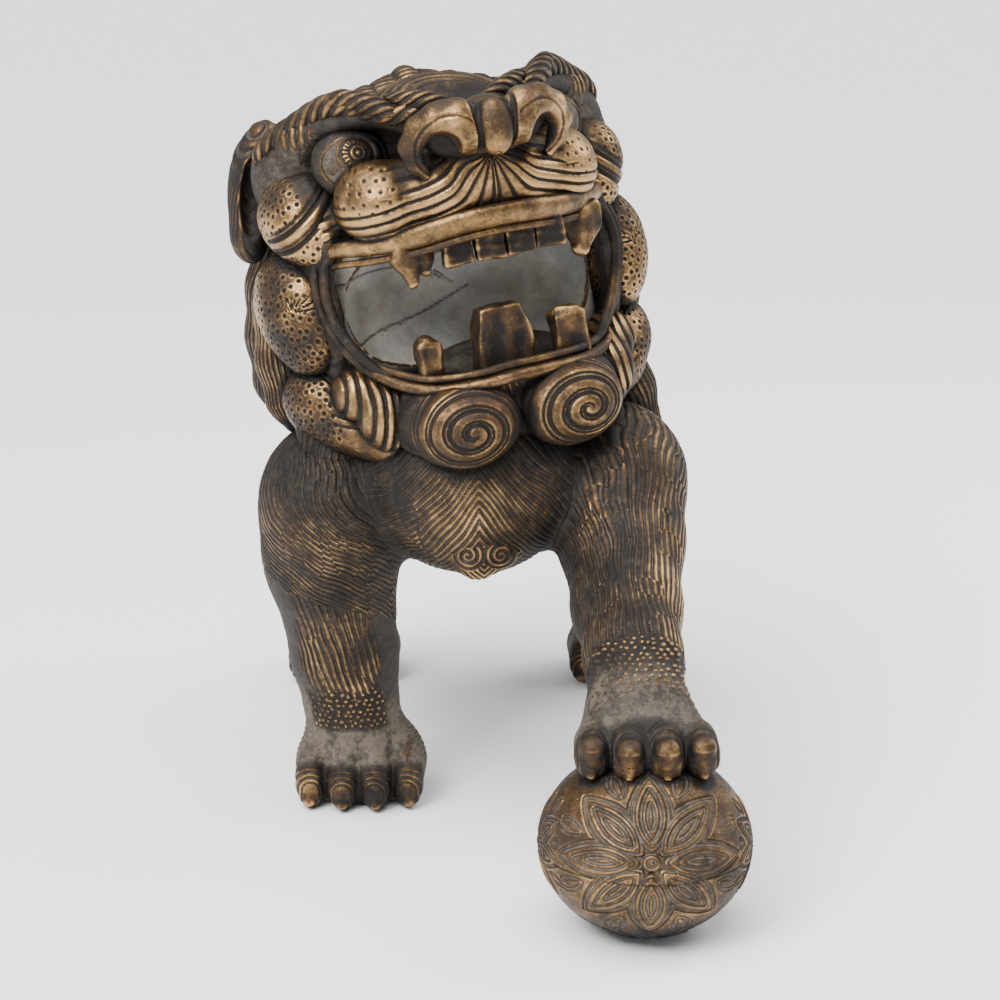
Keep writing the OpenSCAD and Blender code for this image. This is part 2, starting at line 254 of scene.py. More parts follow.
CHUNK = 300000                         # points a field takes at once
BLOCK = 4                              # cells along the side of one block
OFFSETS = np.array([(i, j, k) for i in range(BLOCK) for j in range(BLOCK) for k in range(BLOCK)])
CORNERS = [(i, j, k) for i in (0, 1) for j in (0, 1) for k in (0, 1)]
EDGES = [(a, b) for a in range(8) for b in range(8)
         if a < b and sum(abs(CORNERS[a][i] - CORNERS[b][i]) for i in range(3)) == 1]


def evaluate(field, pts):
    """field at pts (N, 3), in chunks."""
    out = np.empty(len(pts), F)
    for s in range(0, len(pts), CHUNK):
        out[s:s + CHUNK] = field(np.ascontiguousarray(pts[s:s + CHUNK].T, F))
    return out


def surface(field, low, high, cell):
    """Quads on the zero level of field inside the box, by surface nets on the blocks near it."""
    low = np.asarray(low, float) - 2 * cell
    high = np.asarray(high, float) + 2 * cell
    n = np.ceil((high - low) / (cell * BLOCK)).astype(int)
    axes = [low[i] + cell * (BLOCK * np.arange(n[i]) + (BLOCK - 1) / 2) for i in range(3)]
    mids = np.stack(np.meshgrid(*axes, indexing="ij"), -1).reshape(-1, 3)
    d = evaluate(field, mids).reshape(n)
    grid = np.where(d > 0, F(9), F(-9))
    for ax in range(3):
        grid = np.repeat(grid, BLOCK, ax)
    near = np.argwhere(np.abs(d) < cell * BLOCK * 1.35)
    idx = (near[:, None, :] * BLOCK + OFFSETS[None]).reshape(-1, 3)
    grid[idx[:, 0], idx[:, 1], idx[:, 2]] = evaluate(field, low + idx * cell)
    s = grid < 0
    m = tuple(x - 1 for x in s.shape)
    some = np.zeros(m, bool)
    every = np.ones(m, bool)
    for c in CORNERS:
        v = s[c[0]:c[0] + m[0], c[1]:c[1] + m[1], c[2]:c[2] + m[2]]
        some |= v
        every &= v
    active = some & ~every
    cells = np.argwhere(active)
    ident = np.full(m, -1, np.int32)
    ident[active] = np.arange(len(cells))
    val = np.stack([grid[cells[:, 0] + c[0], cells[:, 1] + c[1], cells[:, 2] + c[2]] for c in CORNERS])
    pos = np.zeros((len(cells), 3), F)
    hits = np.zeros(len(cells), F)
    for a, b in EDGES:
        on = (val[a] < 0) != (val[b] < 0)
        t = np.where(on, val[a] / np.where(on, val[a] - val[b], 1), 0)
        for i in range(3):
            pos[:, i] += on * (CORNERS[a][i] + t * (CORNERS[b][i] - CORNERS[a][i]))
        hits += on
    verts = low + (cells + pos / hits[:, None]) * cell
    quads = []
    for ax in range(3):
        u, w = [(1, 2), (2, 0), (0, 1)][ax]
        lo = [1, 1, 1]
        lo[ax] = 0
        hi = list(m)
        here = s[lo[0]:hi[0], lo[1]:hi[1], lo[2]:hi[2]]
        to = np.zeros(3, int)
        to[ax] = 1
        there = s[lo[0] + to[0]:hi[0] + to[0], lo[1] + to[1]:hi[1] + to[1], lo[2] + to[2]:hi[2] + to[2]]
        for flip, hit in ((False, here & ~there), (True, ~here & there)):
            e = np.argwhere(hit) + lo
            eu = np.zeros(3, int)
            ew = np.zeros(3, int)
            eu[u] = 1
            ew[w] = 1
            ring = [e - eu - ew, e - ew, e, e - eu]
            q = np.stack([ident[r[:, 0], r[:, 1], r[:, 2]] for r in ring], 1)
            quads.append(q[:, ::-1] if flip else q)
    quads = np.concatenate(quads)
    return verts, quads[(quads >= 0).all(1)]


def slope(field, pts, e):
    g = np.empty((len(pts), 3), F)
    for i in range(3):
        d = np.zeros(3)
        d[i] = e
        g[:, i] = evaluate(field, pts + d) - evaluate(field, pts - d)
    return g / (2 * e)


def neighbours(quads, count):
    e = np.concatenate([quads[:, [0, 1]], quads[:, [1, 2]], quads[:, [2, 3]], quads[:, [3, 0]]])
    e = np.concatenate([e, e[:, ::-1]])
    return e[:, 0], e[:, 1], np.maximum(np.bincount(e[:, 0], minlength=count), 1)


def relax(v, links, rounds, rate=0.5):
    a, b, n = links
    for _ in range(rounds):
        mean = np.stack([np.bincount(a, v[b, i], len(v)) for i in range(v.shape[1])], 1) / n[:, None]
        v = v + (mean - v) * rate
    return v


# ---------------------------------------------------------------- the figure's own places

def box_mm(node):
    lo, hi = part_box(node)
    return np.array(lo) * 1000, np.array(hi) * 1000


def middle(node):
    lo, hi = box_mm(node)
    return (lo + hi) / 2


EYE = np.array([40.0, -17.0, 49.0])    # left eye in the head's frame
across = unit(middle("eye_left") - middle("eye_right"))
HEAD = turn_z(math.atan2(across[1], across[0])) @ turn_y(-math.asin(across[2]))
HEAD_AT = (middle("eye_left") + middle("eye_right")) / 2 - HEAD @ [0, EYE[1], EYE[2]]
FRONT_Y = box_mm("torso_shell")[0][1]
REAR_Y = box_mm("torso_shell")[1][1]
BODY_Z = 144.0
STANCE = 55.0
SHOULDER_Y = FRONT_Y + 54
HAUNCH_Y = REAR_Y - 52
BALL_LO, BALL_HI = box_mm("brocade_ball")
BALL_AT = (BALL_LO + BALL_HI) / 2
BALL_R = (BALL_HI[0] - BALL_LO[0]) / 2
BALL_HALF = BALL_HI[2] - BALL_AT[2]


def to_head(p):
    q = [p[i] - F(HEAD_AT[i]) for i in range(3)]
    return np.stack([q[0] * F(HEAD[0][i]) + q[1] * F(HEAD[1][i]) + q[2] * F(HEAD[2][i]) for i in range(3)])


# ---------------------------------------------------------------- body fields (figure's frame)

def paw_field(c, width, height, reach, nail, pad_share=0.49):
    """Pad, four toes and claws. c is the middle of the sole; reach is how far the toes stand forward;
    pad_share is half the pad's width as a share of the paw's."""
    toes = []
    nails = []
    for i in range(4):
        k = i - 1.5
        x = c[0] + k * width / 4.05
        y = c[1] - reach + abs(k) * 3.4
        z = c[2]
        toes.append(egg((x, y + 5, z + height * 0.40), (6.9, 11.0, height * 0.40)))
        toes.append(egg((x + k * 0.3, y + 0.5, z + height * 0.34), (6.7, 7.4, height * 0.34)))
        nails.append(limb((x + k * 0.4, y - nail[2], z + height * nail[0]),
                          (x + k * 0.5, y - nail[2] - 1.2, z + height * nail[1]), nail[3], nail[4]))
    pad = join(9, egg((c[0], c[1] + 5, c[2] + height * 0.46),
                      (width * pad_share, width * 0.42, height * 0.56)),
               egg((c[0], c[1] - reach + 17, c[2] + height * 0.40), (width * 0.48, 15, height * 0.44)))
    return join(0.6, join(3.0, pad, join(0.9, *toes)), join(0, *nails))


# claws: top and bottom as shares of the height, how far forward, upper and lower radius
NAIL_DOWN = (0.24, 0.12, 2.8, 3.3, 2.6)
NAIL_UP = (0.50, 0.13, 3.4, 5.0, 2.0)


spine = join(12, chain([(-4, FRONT_Y + 38, BODY_Z + 3, 33), (-5, FRONT_Y + 60, BODY_Z + 3, 43),
                        (-2, FRONT_Y + 100, BODY_Z, 42), (0, REAR_Y - 82, BODY_Z - 4, 40),
                        (0, REAR_Y - 44, BODY_Z - 4, 44)], 8),
             egg((-2, FRONT_Y + 38, BODY_Z + 2), (44, 35, 33), turn_y(math.radians(8))),
             egg((-1, FRONT_Y + 27, BODY_Z - 12), (19, 20, 18)),
             chain([(-2, FRONT_Y + 68, BODY_Z + 6, 42), (-5, FRONT_Y + 94, BODY_Z + 42, 32)]))
leg_fr = join(6, chain([(-STANCE - 4, SHOULDER_Y - 2, BODY_Z - 7, 28),
                        (-STANCE - 6, SHOULDER_Y + 2, 108, 26.5),
                        (-STANCE - 2, SHOULDER_Y + 12, 66, 21.5), (-STANCE + 1, SHOULDER_Y + 17, 36, 20)], 6),
              egg((-STANCE - 4, SHOULDER_Y - 4, BODY_Z - 14), (30.5, 33, 37)),
              egg((-STANCE - 4, SHOULDER_Y + 22, 98), (17, 18, 24)))
leg_fl = join(6, chain([(STANCE - 1, SHOULDER_Y - 4, BODY_Z, 27), (STANCE + 1, -52, 124, 24.5),
                        (STANCE + 2, -82, 104, 20.5), (STANCE + 3, -108, 93, 17.8),
                        (STANCE + 3.5, -128, 80, 17.2), (STANCE + 3.5, -131, 74, 17.0)], 6),
              egg((STANCE - 1, SHOULDER_Y - 6, BODY_Z - 2), (29, 33, 33)))
PAW_UP = np.array([STANCE + 5.8, -137.5, 61.0])
PAWS = {                               # middle of the sole, width, height, reach, claws
    "front_right_leg": ((-STANCE + 4, SHOULDER_Y + 17, 0), 54, 37, 20, NAIL_DOWN),
    "front_left_leg": (PAW_UP, 52, 25, 20, NAIL_UP),
    "hind_right_leg": ((-STANCE - 14, HAUNCH_Y + 34, 0), 54, 33, 22, NAIL_DOWN),
    "hind_left_leg": ((STANCE + 14, HAUNCH_Y + 34, 0), 54, 33, 22, NAIL_DOWN),
}


def hind_field(s):
    x = s * STANCE
    return join(6, chain([(x - s * 7, HAUNCH_Y, BODY_Z - 12, 35), (x + s * 3, HAUNCH_Y - 22, 88, 24),
                          (x + s * 9, HAUNCH_Y + 8, 60, 17), (x + s * 10, HAUNCH_Y + 34, 44, 15),
                          (x + s * 12, HAUNCH_Y + 32, 24, 17)], 6),
                egg((x - s * 5, HAUNCH_Y - 2, BODY_Z - 20), (34, 41, 43)))


leg_hr, leg_hl = hind_field(-1), hind_field(1)
paws = {name: paw_field(*row) for name, row in PAWS.items()}
paws["front_left_leg"] = paw_field(*PAWS["front_left_leg"], pad_share=0.38)
ball_solid = egg(BALL_AT, (BALL_R, BALL_R, BALL_HALF))


def floor_cut(p):
    return -p[2]


LIMBS = {
    "front_right_leg": (leg_fr, paws["front_right_leg"]),
    "front_left_leg": (leg_fl, cut(1.0, paws["front_left_leg"], ball_solid)),
    "hind_right_leg": (leg_hr, paws["hind_right_leg"]),
    "hind_left_leg": (leg_hl, paws["hind_left_leg"]),
}
LIMB_FIELDS = {name: join(7, *pair) for name, pair in LIMBS.items()}


def body_field(p):
    d = spine(p)
    for g in LIMB_FIELDS.values():
        d = smin(d, g(p), 8)
    return smax(d, floor_cut(p), 0.6)


def limb_part(name):
    own = LIMB_FIELDS[name]

    def f(p):
        a = own(p)
        b = spine(p)
        return np.maximum(smax(smin(b, a, 8), floor_cut(p), 0.6), a - b - 0.2)
    return f


def torso_part(p):
    s = spine(p)
    limbs = None
    whole = s
    for g in LIMB_FIELDS.values():
        a = g(p)
        whole = smin(whole, a, 8)
        limbs = a if limbs is None else np.minimum(limbs, a)
    return np.maximum(whole, s - limbs - 0.7)


# ---------------------------------------------------------------- head fields (head's frame)

cranium = join(10, egg((0, 14, 32), (60, 44, 36)), egg((0, 26, 2), (55, 34, 48)),
               egg((1, 0, 47), (38, 34, 29)))
muzzle_bar = join(7, limb((-32, -36, 35), (33, -36, 35), 15.0, 15.0),
                  limb((-12, -44, 37), (15, -44, 37), 15, 15),
                  mirror(egg((38.5, -31, 35.5), (13.5, 17, 14.5))), limb((1, -10, 46), (1, -46, 46), 18, 13))
cheek_wall = mirror(join(6, egg((55, 0, 22), (10, 24, 20)), egg((57, 0, -8), (9, 25, 30)),
                         egg((50, -4, -40), (12, 24, 16))))
mouth_gap = block((0, -46, -8.5), (54, 52, 30.5), 17)
eye_hollow = mirror(join(5, egg((39, -28, 52), (19, 13, 12)), egg((51, -20, 50), (13, 10, 10.5))))
nostrils = mirror(egg((16, -66, 50), (8.5, 12, 7.5)))
brow_shelf = mirror(chain([(12, -36, 62, 7), (34, -23, 66, 7), (56, -4, 61, 7)], 4))
temple = mirror(egg((60, 10, 44), (13, 17, 19)))
skull = cut(3, join(8, cut(5, join(9, cranium, brow_shelf, temple), eye_hollow), muzzle_bar, cheek_wall),
            mouth_gap)
skull = cut(2.5, skull, nostrils)

jaw = join(5, limb((-30, -42, -50), (30, -42, -50), 14, 14), limb((-43, -12, -49), (-30, -42, -50), 13, 14),
           limb((43, -12, -49), (30, -42, -50), 13, 14), egg((0, -18, -58), (40, 30, 12)))
jaw = cut(3, jaw, block((0, -26, -22), (42, 25, 14), 11), block((0, -50, -20), (70, 60, 14.5), 3))
jaw = join(5, jaw, egg((4, -20, -36), (30, 14, 9)))


INCISOR_X = 4.75
INCISOR_PITCH = 12.2
NOSE_X = 3.0                # the nose and upper teeth sit a little to the figure's left
nose_wing = join(2.5, chain([(8.0, -63.5, 53.5, 2.6), (9.8, -65, 59, 6.2), (13, -64.5, 64.5, 7.0),
                             (20, -62.5, 65.5, 5.6), (26, -59, 62.5, 4.8), (29.5, -56, 56.5, 4.0),
                             (28.2, -54, 50.0, 3.2), (24.5, -53, 45.0, 2.2)], 3),
                 egg((11, -65.5, 60), (6.4, 4.6, 9.0), turn_y(math.radians(-20))))
nose_middle = join(1.5, egg((0, -68.0, 59.5), (7.0, 6.4, 10.4)), egg((0, -58, 64), (10, 10, 7)))
nose_base = egg((0, -52, 58), (24, 12, 11))
nose = join(0.9, cut(1.8, join(2, nose_base, mirror(nose_wing)),
                     mirror(join(3, egg((20.0, -68, 54.0), (6.2, 11, 6.4)),
                                 egg((18.0, -68, 46.5), (7.0, 12, 6.5))))), nose_middle)


def moved(field, x):
    return lambda p: field(np.stack([p[0] - F(x), p[1], p[2]]))


nose = moved(nose, NOSE_X)
eye_field = egg(EYE + (0.5, 0, 1.5), (13.1, 13.0, 12.6))
lid = join(1.5, cut(1.2, egg(EYE + (0, 0.5, 1), (14.7, 14.0, 13.7)),
                    egg(EYE + (-2.0, -11.5, 2.0), (16.5, 11, 10.0))))

BROW = [(-3, -47, 62, 2.4), (7, -46.5, 64.5, 3.6), (17, -43, 67, 4.2), (27, -36.5, 67.5, 4.6),
        (34, -29, 70.5, 4.9), (42, -20, 72.5, 5.2), (48, -13, 70.5, 5.2), (55, -6, 66.5, 4.8),
        (64, 2, 61, 4.4), (68.5, 6.5, 55.5, 3.6), (69, 9, 49, 2.4)]
BROW_LEAVES = [
    [(23, -42, 66, 1.6), (29, -38, 69.5, 3.6), (35, -32, 72.5, 4.3), (41, -24, 75, 3.6), (46, -18, 75, 1.8)],
    [(1, -49, 63, 1.6), (8, -49, 67.5, 3.4), (15, -46, 70.5, 4.0), (22, -41, 72.5, 3.2), (28, -36, 74, 1.6)],
]
LIP_UP = [(-58, -13, 11), (-54.5, -22, 17.4), (-43, -36, 19.2), (-29, -49, 21.2), (-13, -57.5, 24.4),
          (1, -59.5, 25.2), (15, -57.5, 24.4), (31, -50, 22.4), (46, -37, 21.2), (56, -22, 20.4),
          (59, -12, 18)]
LIP_LOW = [(-49, -32, -28), (-43, -40, -32.5), (-31, -51, -36.4), (-15, -58.5, -36.4), (0, -60, -35.4),
           (15, -58.5, -35.8), (31, -51, -36.8), (43, -40, -36.5), (49, -32, -34)]
LIPS = (                               # name, middle line, moved by, radii along it, look
    ("upper_lip", LIP_UP, (0, 0.2, 0.8), (1.4, 2.1, 2.8, 3.3, 3.5, 3.5, 3.5, 3.3, 3.0, 2.4, 1.6),
     {"gold": 0.62, "steps": 180, "around": 36, "dust": 0.2, "flat": 1.4}),
    ("upper_lip_edge", LIP_UP, (0, 0.4, -4.9), (1.0, 1.3, 1.5, 1.5, 1.5, 1.5, 1.5, 1.5, 1.4, 1.2, 1.0),
     {"gold": 0.44, "steps": 180, "around": 24, "dust": 0.4}),
    ("lower_lip", LIP_LOW, (0, 0, 0), (1.8, 2.2, 2.4, 2.5, 2.5, 2.5, 2.4, 2.2, 1.8),
     {"gold": 0.50, "steps": 150, "around": 32, "dust": 0.4}),
    ("lower_lip_edge", LIP_LOW, (0, 2.5, 4.0), (1.4, 1.6, 1.7, 1.7, 1.7, 1.7, 1.7, 1.6, 1.4),
     {"gold": 0.42, "steps": 150, "around": 24, "dust": 0.5}),
)
RIM = [(52.5, -22, 19.5), (57.5, -21, 13.5), (59.5, -23, 5), (59, -24, -4), (56.5, -26, -13),
       (51, -31, -23), (44, -37, -30.5), (37, -43, -34.5)]
RIM_R = (1.4, 2.0, 2.2, 2.2, 2.2, 2.1, 1.9, 1.6)
RIM_OUTER_R = (1.2, 1.8, 2.0, 2.0, 2.0, 1.8, 1.6, 1.4)

chin_curl = join(5, egg((20.8, -55, -51.5), (20.8, 16, 16.5)), egg((28, -47, -51.0), (14, 16, 15.0)))
cheek_curls = {
    1: join(8, egg((58, -1, 31), (17.0, 21, 18)), egg((56, -10, 21), (11, 12, 11))),
    2: join(8, egg((64.5, 5, -4), (17.0, 24, 22)), egg((64, -4, -16), (12.5, 17, 15))),
    3: join(8, egg((62, 1, -42), (16, 20, 16)), egg((54, -10, -52), (14.5, 16, 13)),
            egg((43, -20, -60), (12, 14, 9))),
    4: join(6, egg((53, -21, -38), (10.5, 12, 11)), egg((46, -32, -47), (11, 12, 13.5))),
}
ear_leaf = cut(1.2, join(4, egg((71, 26, 40), (9.0, 13, 24), turn_y(math.radians(-12))),
                         egg((63, 19, 61), (7.0, 8, 7)),
                         egg((75, 26, 22), (7, 8, 10))),
               egg((73, 12.0, 38), (5.5, 9, 19), turn_y(math.radians(-12))))
LOCKS = {
    1: [(58, 22, 10, 12), (66, 20, -8, 13), (70, 19, -28, 12), (71, 19, -44, 9.5), (70, 18, -53, 5.5)],
    2: [(50, 14, -30, 15), (58, 4, -48, 15.5), (62, -1, -66, 14), (64, -5, -82, 11), (63, -7, -93, 6)],
    3: [(52, 44, 16, 15), (59, 47, -4, 16), (63, 51, -24, 15), (65, 56, -44, 12), (65, 59, -56, 6)],
    4: [(32, 56, 22, 17), (36, 63, -2, 18), (38, 69, -24, 17), (38, 76, -48, 13.5), (38, 80, -62, 7)],
}
BACK_LOCK = [(0, 60, 28, 16), (0, 70, 4, 18), (1, 78, -20, 17), (3, 85, -46, 14), (4, 89, -68, 8)]
lock_fields = {n: chain(b, 5) for n, b in LOCKS.items()}
back_lock = chain(BACK_LOCK, 5)
crown = chain([((i - 3) * 15, 29 - abs(i - 3), 67 - abs(i - 3) * 4.2, 8.8) for i in range(7)], 3)

head_side = join(0, lid, chin_curl, *cheek_curls.values(), ear_leaf, *lock_fields.values())
head_mass = join(0, skull, jaw, mirror(head_side), nose, back_lock, crown)


def whole_field(p):
    """Everything, roughly: what shades what."""
    return np.minimum(body_field(p), head_mass(to_head(p)))


# ---------------------------------------------------------------- materials

class Graph:
    """Short names for building a node tree."""

    def __init__(self, name):
        self.mat = bpy.data.materials.new(name)
        self.mat.use_nodes = True
        self.nodes, self.links = self.mat.node_tree.nodes, self.mat.node_tree.links
        self.bsdf = self.nodes["Principled BSDF"]

    def put(self, socket, value):
        if isinstance(value, bpy.types.NodeSocket):
            self.links.new(value, socket)
        else:
            socket.default_value = value

    def math(self, op, a, b=0.0, clamp=False):
        n = self.nodes.new("ShaderNodeMath")
        n.operation = op
        n.use_clamp = clamp
        self.put(n.inputs[0], a)
        self.put(n.inputs[1], b)
        return n.outputs[0]

    def plus(self, a, b, clamp=False):
        return self.math("ADD", a, b, clamp)

    def minus(self, a, b, clamp=False):
        return self.math("SUBTRACT", a, b, clamp)

    def times(self, a, b, clamp=False):
        return self.math("MULTIPLY", a, b, clamp)

    def span(self, x, lo, hi, out_lo=0.0, out_hi=1.0):
        """out_lo to out_hi, smoothly, as x goes from lo to hi."""
        n = self.nodes.new("ShaderNodeMapRange")
        n.interpolation_type = "SMOOTHSTEP"
        self.put(n.inputs["Value"], x)
        n.inputs["From Min"].default_value = lo
        n.inputs["From Max"].default_value = hi
        n.inputs["To Min"].default_value = out_lo
        n.inputs["To Max"].default_value = out_hi
        return n.outputs["Result"]

    def mix(self, fac, a, b):
        n = self.nodes.new("ShaderNodeMix")
        n.data_type = "RGBA"
        self.put(n.inputs["Factor"], fac)
        for key, value in (("A", a), ("B", b)):
            sock = [s for s in n.inputs if s.name == key and s.type == "RGBA"][0]
            if isinstance(value, bpy.types.NodeSocket):
                self.links.new(value, sock)
            else:
                sock.default_value = (*value, 1)
        return [s for s in n.outputs if s.type == "RGBA"][0]

    def noise(self, scale, detail=3.0, rough=0.6, vector=None, dist=0.0):
        n = self.nodes.new("ShaderNodeTexNoise")
        n.inputs["Scale"].default_value = scale
        n.inputs["Detail"].default_value = detail
        n.inputs["Roughness"].default_value = rough
        n.inputs["Distortion"].default_value = dist
        if vector is not None:
            self.links.new(vector, n.inputs["Vector"])
        return n.outputs["Fac"]

    def cells(self, scale, vector=None):
        n = self.nodes.new("ShaderNodeTexVoronoi")
        n.inputs["Scale"].default_value = scale
        if vector is not None:
            self.links.new(vector, n.inputs["Vector"])
        return n.outputs["Distance"]

    def attribute(self, name):
        n = self.nodes.new("ShaderNodeAttribute")
        n.attribute_name = name
        s = self.nodes.new("ShaderNodeSeparateXYZ")
        self.links.new(n.outputs["Vector"], s.inputs[0])
        return s.outputs


GOLD = (0.212, 0.129, 0.055)
COPPER = (0.200, 0.097, 0.062)
BROWN = (0.048, 0.030, 0.018)
DARK_PATINA = (0.010, 0.0072, 0.0055)
# painted shade: the dark colour that closed places and cut lines are mixed towards
PAINTED_SHADE = (0.006, 0.005, 0.004)
DUST = (0.064, 0.054, 0.044)
MOUTH_DUST = (0.42, 0.385, 0.34)
COOL_DUST = (0.92, 0.99, 1.04)         # what turns a dust colour cooler
PALE_DUST = (2.35, 2.25, 2.15)         # what turns a dust colour paler where it lies thick
POLISH_AND_HIGHLIGHT = 1.9                            # how much brighter the most rubbed metal is: real polish, partly a painted highlight


def tinted(colour, factors):
    return tuple(c * k for c, k in zip(colour, factors))


def bronze(name, dust=DUST, calm=False):
    """Cast bronze: dust and dark patina in the hollows, rubbed metal on what stands out, its brightest gold
    partly a painted highlight, and painted shade darkening closed places and cut lines. A calm one has broad,
    soft stains in place of specks."""
    g = Graph(name)
    coord = g.nodes.new("ShaderNodeTexCoord").outputs["Object"]
    strand = g.attribute("strand")
    wear_and_shade = g.attribute("wear_and_shade")
    wash = g.attribute("wash")
    angle = g.math("ARCTAN2", strand[1], strand[0])
    r = g.math("DIVIDE", g.math("ABSOLUTE", angle), math.pi)
    groove = g.times(g.span(r, 0.62, 0.92), strand[2])
    cut_line = g.times(g.span(r, 0.84, 0.98), strand[2])
    ridge = g.times(g.span(r, 0.60, 0.05), strand[2])
    broad = g.noise(30, 4, 0.62, coord)
    mid = g.noise(150, 5, 0.68, coord)
    fine = g.noise(800, 3, 0.75, coord)
    wear = g.plus(wear_and_shade[0], g.times(wear_and_shade[1], 0.60))
    for tex, share in ((broad, 1.05), (mid, 0.80), (fine, 0.35)):
        wear = g.plus(wear, g.times(g.minus(tex, 0.5), share))
    wear = g.plus(wear, g.times(ridge, 0.12))
    wear = g.minus(wear, g.times(groove, 0.45))
    shut = g.minus(1.0, wear_and_shade[2])
    wear = g.minus(wear, g.times(shut, 0.55), clamp=True)
    # patina: black brown, with pale dust where it settles
    speck = g.span(g.noise(420, 5, 0.85, coord), 0.42, 0.58)
    settle = g.plus(g.times(groove, 0.78), g.span(mid, 0.45, 0.70, 0.0, 0.60))
    settle = g.times(settle, g.times(wash[0], g.span(broad, 0.40, 0.60, 0.62, 1.25)), clamp=True)
    settle = g.times(settle, g.plus(g.times(speck, 0.68), 0.32), clamp=True)
    mottle = g.times(g.span(broad if calm else mid, 0.36, 0.62, 0.55 if calm else 0.32, 1.0),
                     g.span(speck, 0.0, 1.0, 0.90 if calm else 0.48, 1.0))
    settle = g.math("MAXIMUM", settle, g.times(wash[1], mottle))
    cool = g.mix(g.span(g.noise(24, 3, 0.6, coord), 0.45, 0.62), dust, tinted(dust, COOL_DUST))
    lying = g.math("MAXIMUM", g.span(wash[1], 0.9, 1.9),
                   g.times(groove, g.span(broad, 0.38, 0.62, 0.15, 0.65)))
    pale = cool if calm else g.mix(lying, cool, tinted(dust, PALE_DUST))
    patina = g.mix(settle, DARK_PATINA, pale)
    copper = g.span(g.noise(45, 4, 0.65, coord, 0.8), 0.54, 0.70)
    warm = g.mix(g.times(copper, wash[2]), GOLD, COPPER)
    bright = g.mix(g.span(wear, 0.50, 0.86), BROWN, warm)
    # brightest gold on the most rubbed metal: real polish, partly a painted highlight
    polish_and_highlight = g.mix(g.span(wear, 0.78, 1.0), bright, tinted(GOLD, [POLISH_AND_HIGHLIGHT] * 3))
    colour = g.mix(g.span(wear, 0.32, 0.54), patina, polish_and_highlight)
    # painted shade: the colour darkens towards the painted shade colour where the space above is closed, and
    # along cut lines where little dust lies
    dim = g.plus(g.times(g.span(wear_and_shade[2], 0.0, 0.75), 0.72), 0.28)
    line_shade = g.times(cut_line, g.minus(0.75, g.times(wash[0], 0.70)))
    dim = g.times(dim, g.minus(1.0, line_shade))
    final = g.mix(dim, PAINTED_SHADE, colour)
    g.links.new(final, g.bsdf.inputs["Base Color"])
    g.links.new(g.span(wear, 0.34, 0.66, 0.10, 0.95), g.bsdf.inputs["Metallic"])
    rough = g.plus(g.span(wear, 0.25, 0.95, 0.62, 0.30), g.times(g.minus(mid, 0.5), 0.25))
    rough = g.plus(rough, g.times(settle, 0.16))
    g.links.new(rough, g.bsdf.inputs["Roughness"])
    g.bsdf.inputs["Specular IOR Level"].default_value = 0.20
    pits = g.span(g.cells(300, coord), 0.08, 0.24)
    gate = g.span(g.noise(60, 2, 0.5, coord), 0.50, 0.60)
    pit_depth = g.times(g.minus(pits, 1.0), gate)
    h = g.plus(g.times(groove, -0.00034), g.times(pit_depth, 0.00026))
    h = g.plus(h, g.times(fine, 0.00022))
    h = g.plus(h, g.times(mid, 0.00055))
    bump = g.nodes.new("ShaderNodeBump")
    bump.inputs["Strength"].default_value = 1.0
    bump.inputs["Distance"].default_value = 1.0
    g.links.new(h, bump.inputs["Height"])
    g.links.new(bump.outputs["Normal"], g.bsdf.inputs["Normal"])
    return g.mat


MATS = {
    "dark_bronze": bronze("dark_bronze"),
    "gold_bronze": bronze("gold_bronze"),
    "mouth_bronze": bronze("mouth_bronze", MOUTH_DUST, calm=True),
}


# ---------------------------------------------------------------- pieces

def finish_piece(name, verts, quads, strand, wear_and_shade, wash, node, slot):
    me = bpy.data.meshes.new(name)
    me.vertices.add(len(verts))
    me.vertices.foreach_set("co", (verts * MM).astype(F).ravel())
    me.loops.add(len(quads) * 4)
    me.loops.foreach_set("vertex_index", quads.astype(np.int32).ravel())
    me.polygons.add(len(quads))
    me.polygons.foreach_set("loop_start", np.arange(0, len(quads) * 4, 4, dtype=np.int32))
    me.polygons.foreach_set("use_smooth", np.ones(len(quads), bool))
    me.update(calc_edges=True)
    for key, data in (("strand", strand), ("wear_and_shade", wear_and_shade), ("wash", wash)):
        at = me.attributes.new(key, "FLOAT_VECTOR", "POINT")
        at.data.foreach_set("vector", np.ascontiguousarray(data, F).ravel())
    ob = bpy.data.objects.new(name, me)
    bpy.context.scene.collection.objects.link(ob)
    me.materials.append(MATS[slot])
    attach(ob, BODY)
    if node:
        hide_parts(*([node] if isinstance(node, str) else node))
    return ob


def blank(p):
    """The empty pattern: height, strand phase and amount, gold bias, dust in the grooves, plain grey,
    copper."""
    zero = np.zeros_like(p[0])
    start = {"h": 0, "u": 0, "amount": 0, "gold": 0.42, "dust": 0.8, "grey": 0, "copper": 0.5}
    return {key: zero + F(value) for key, value in start.items()}


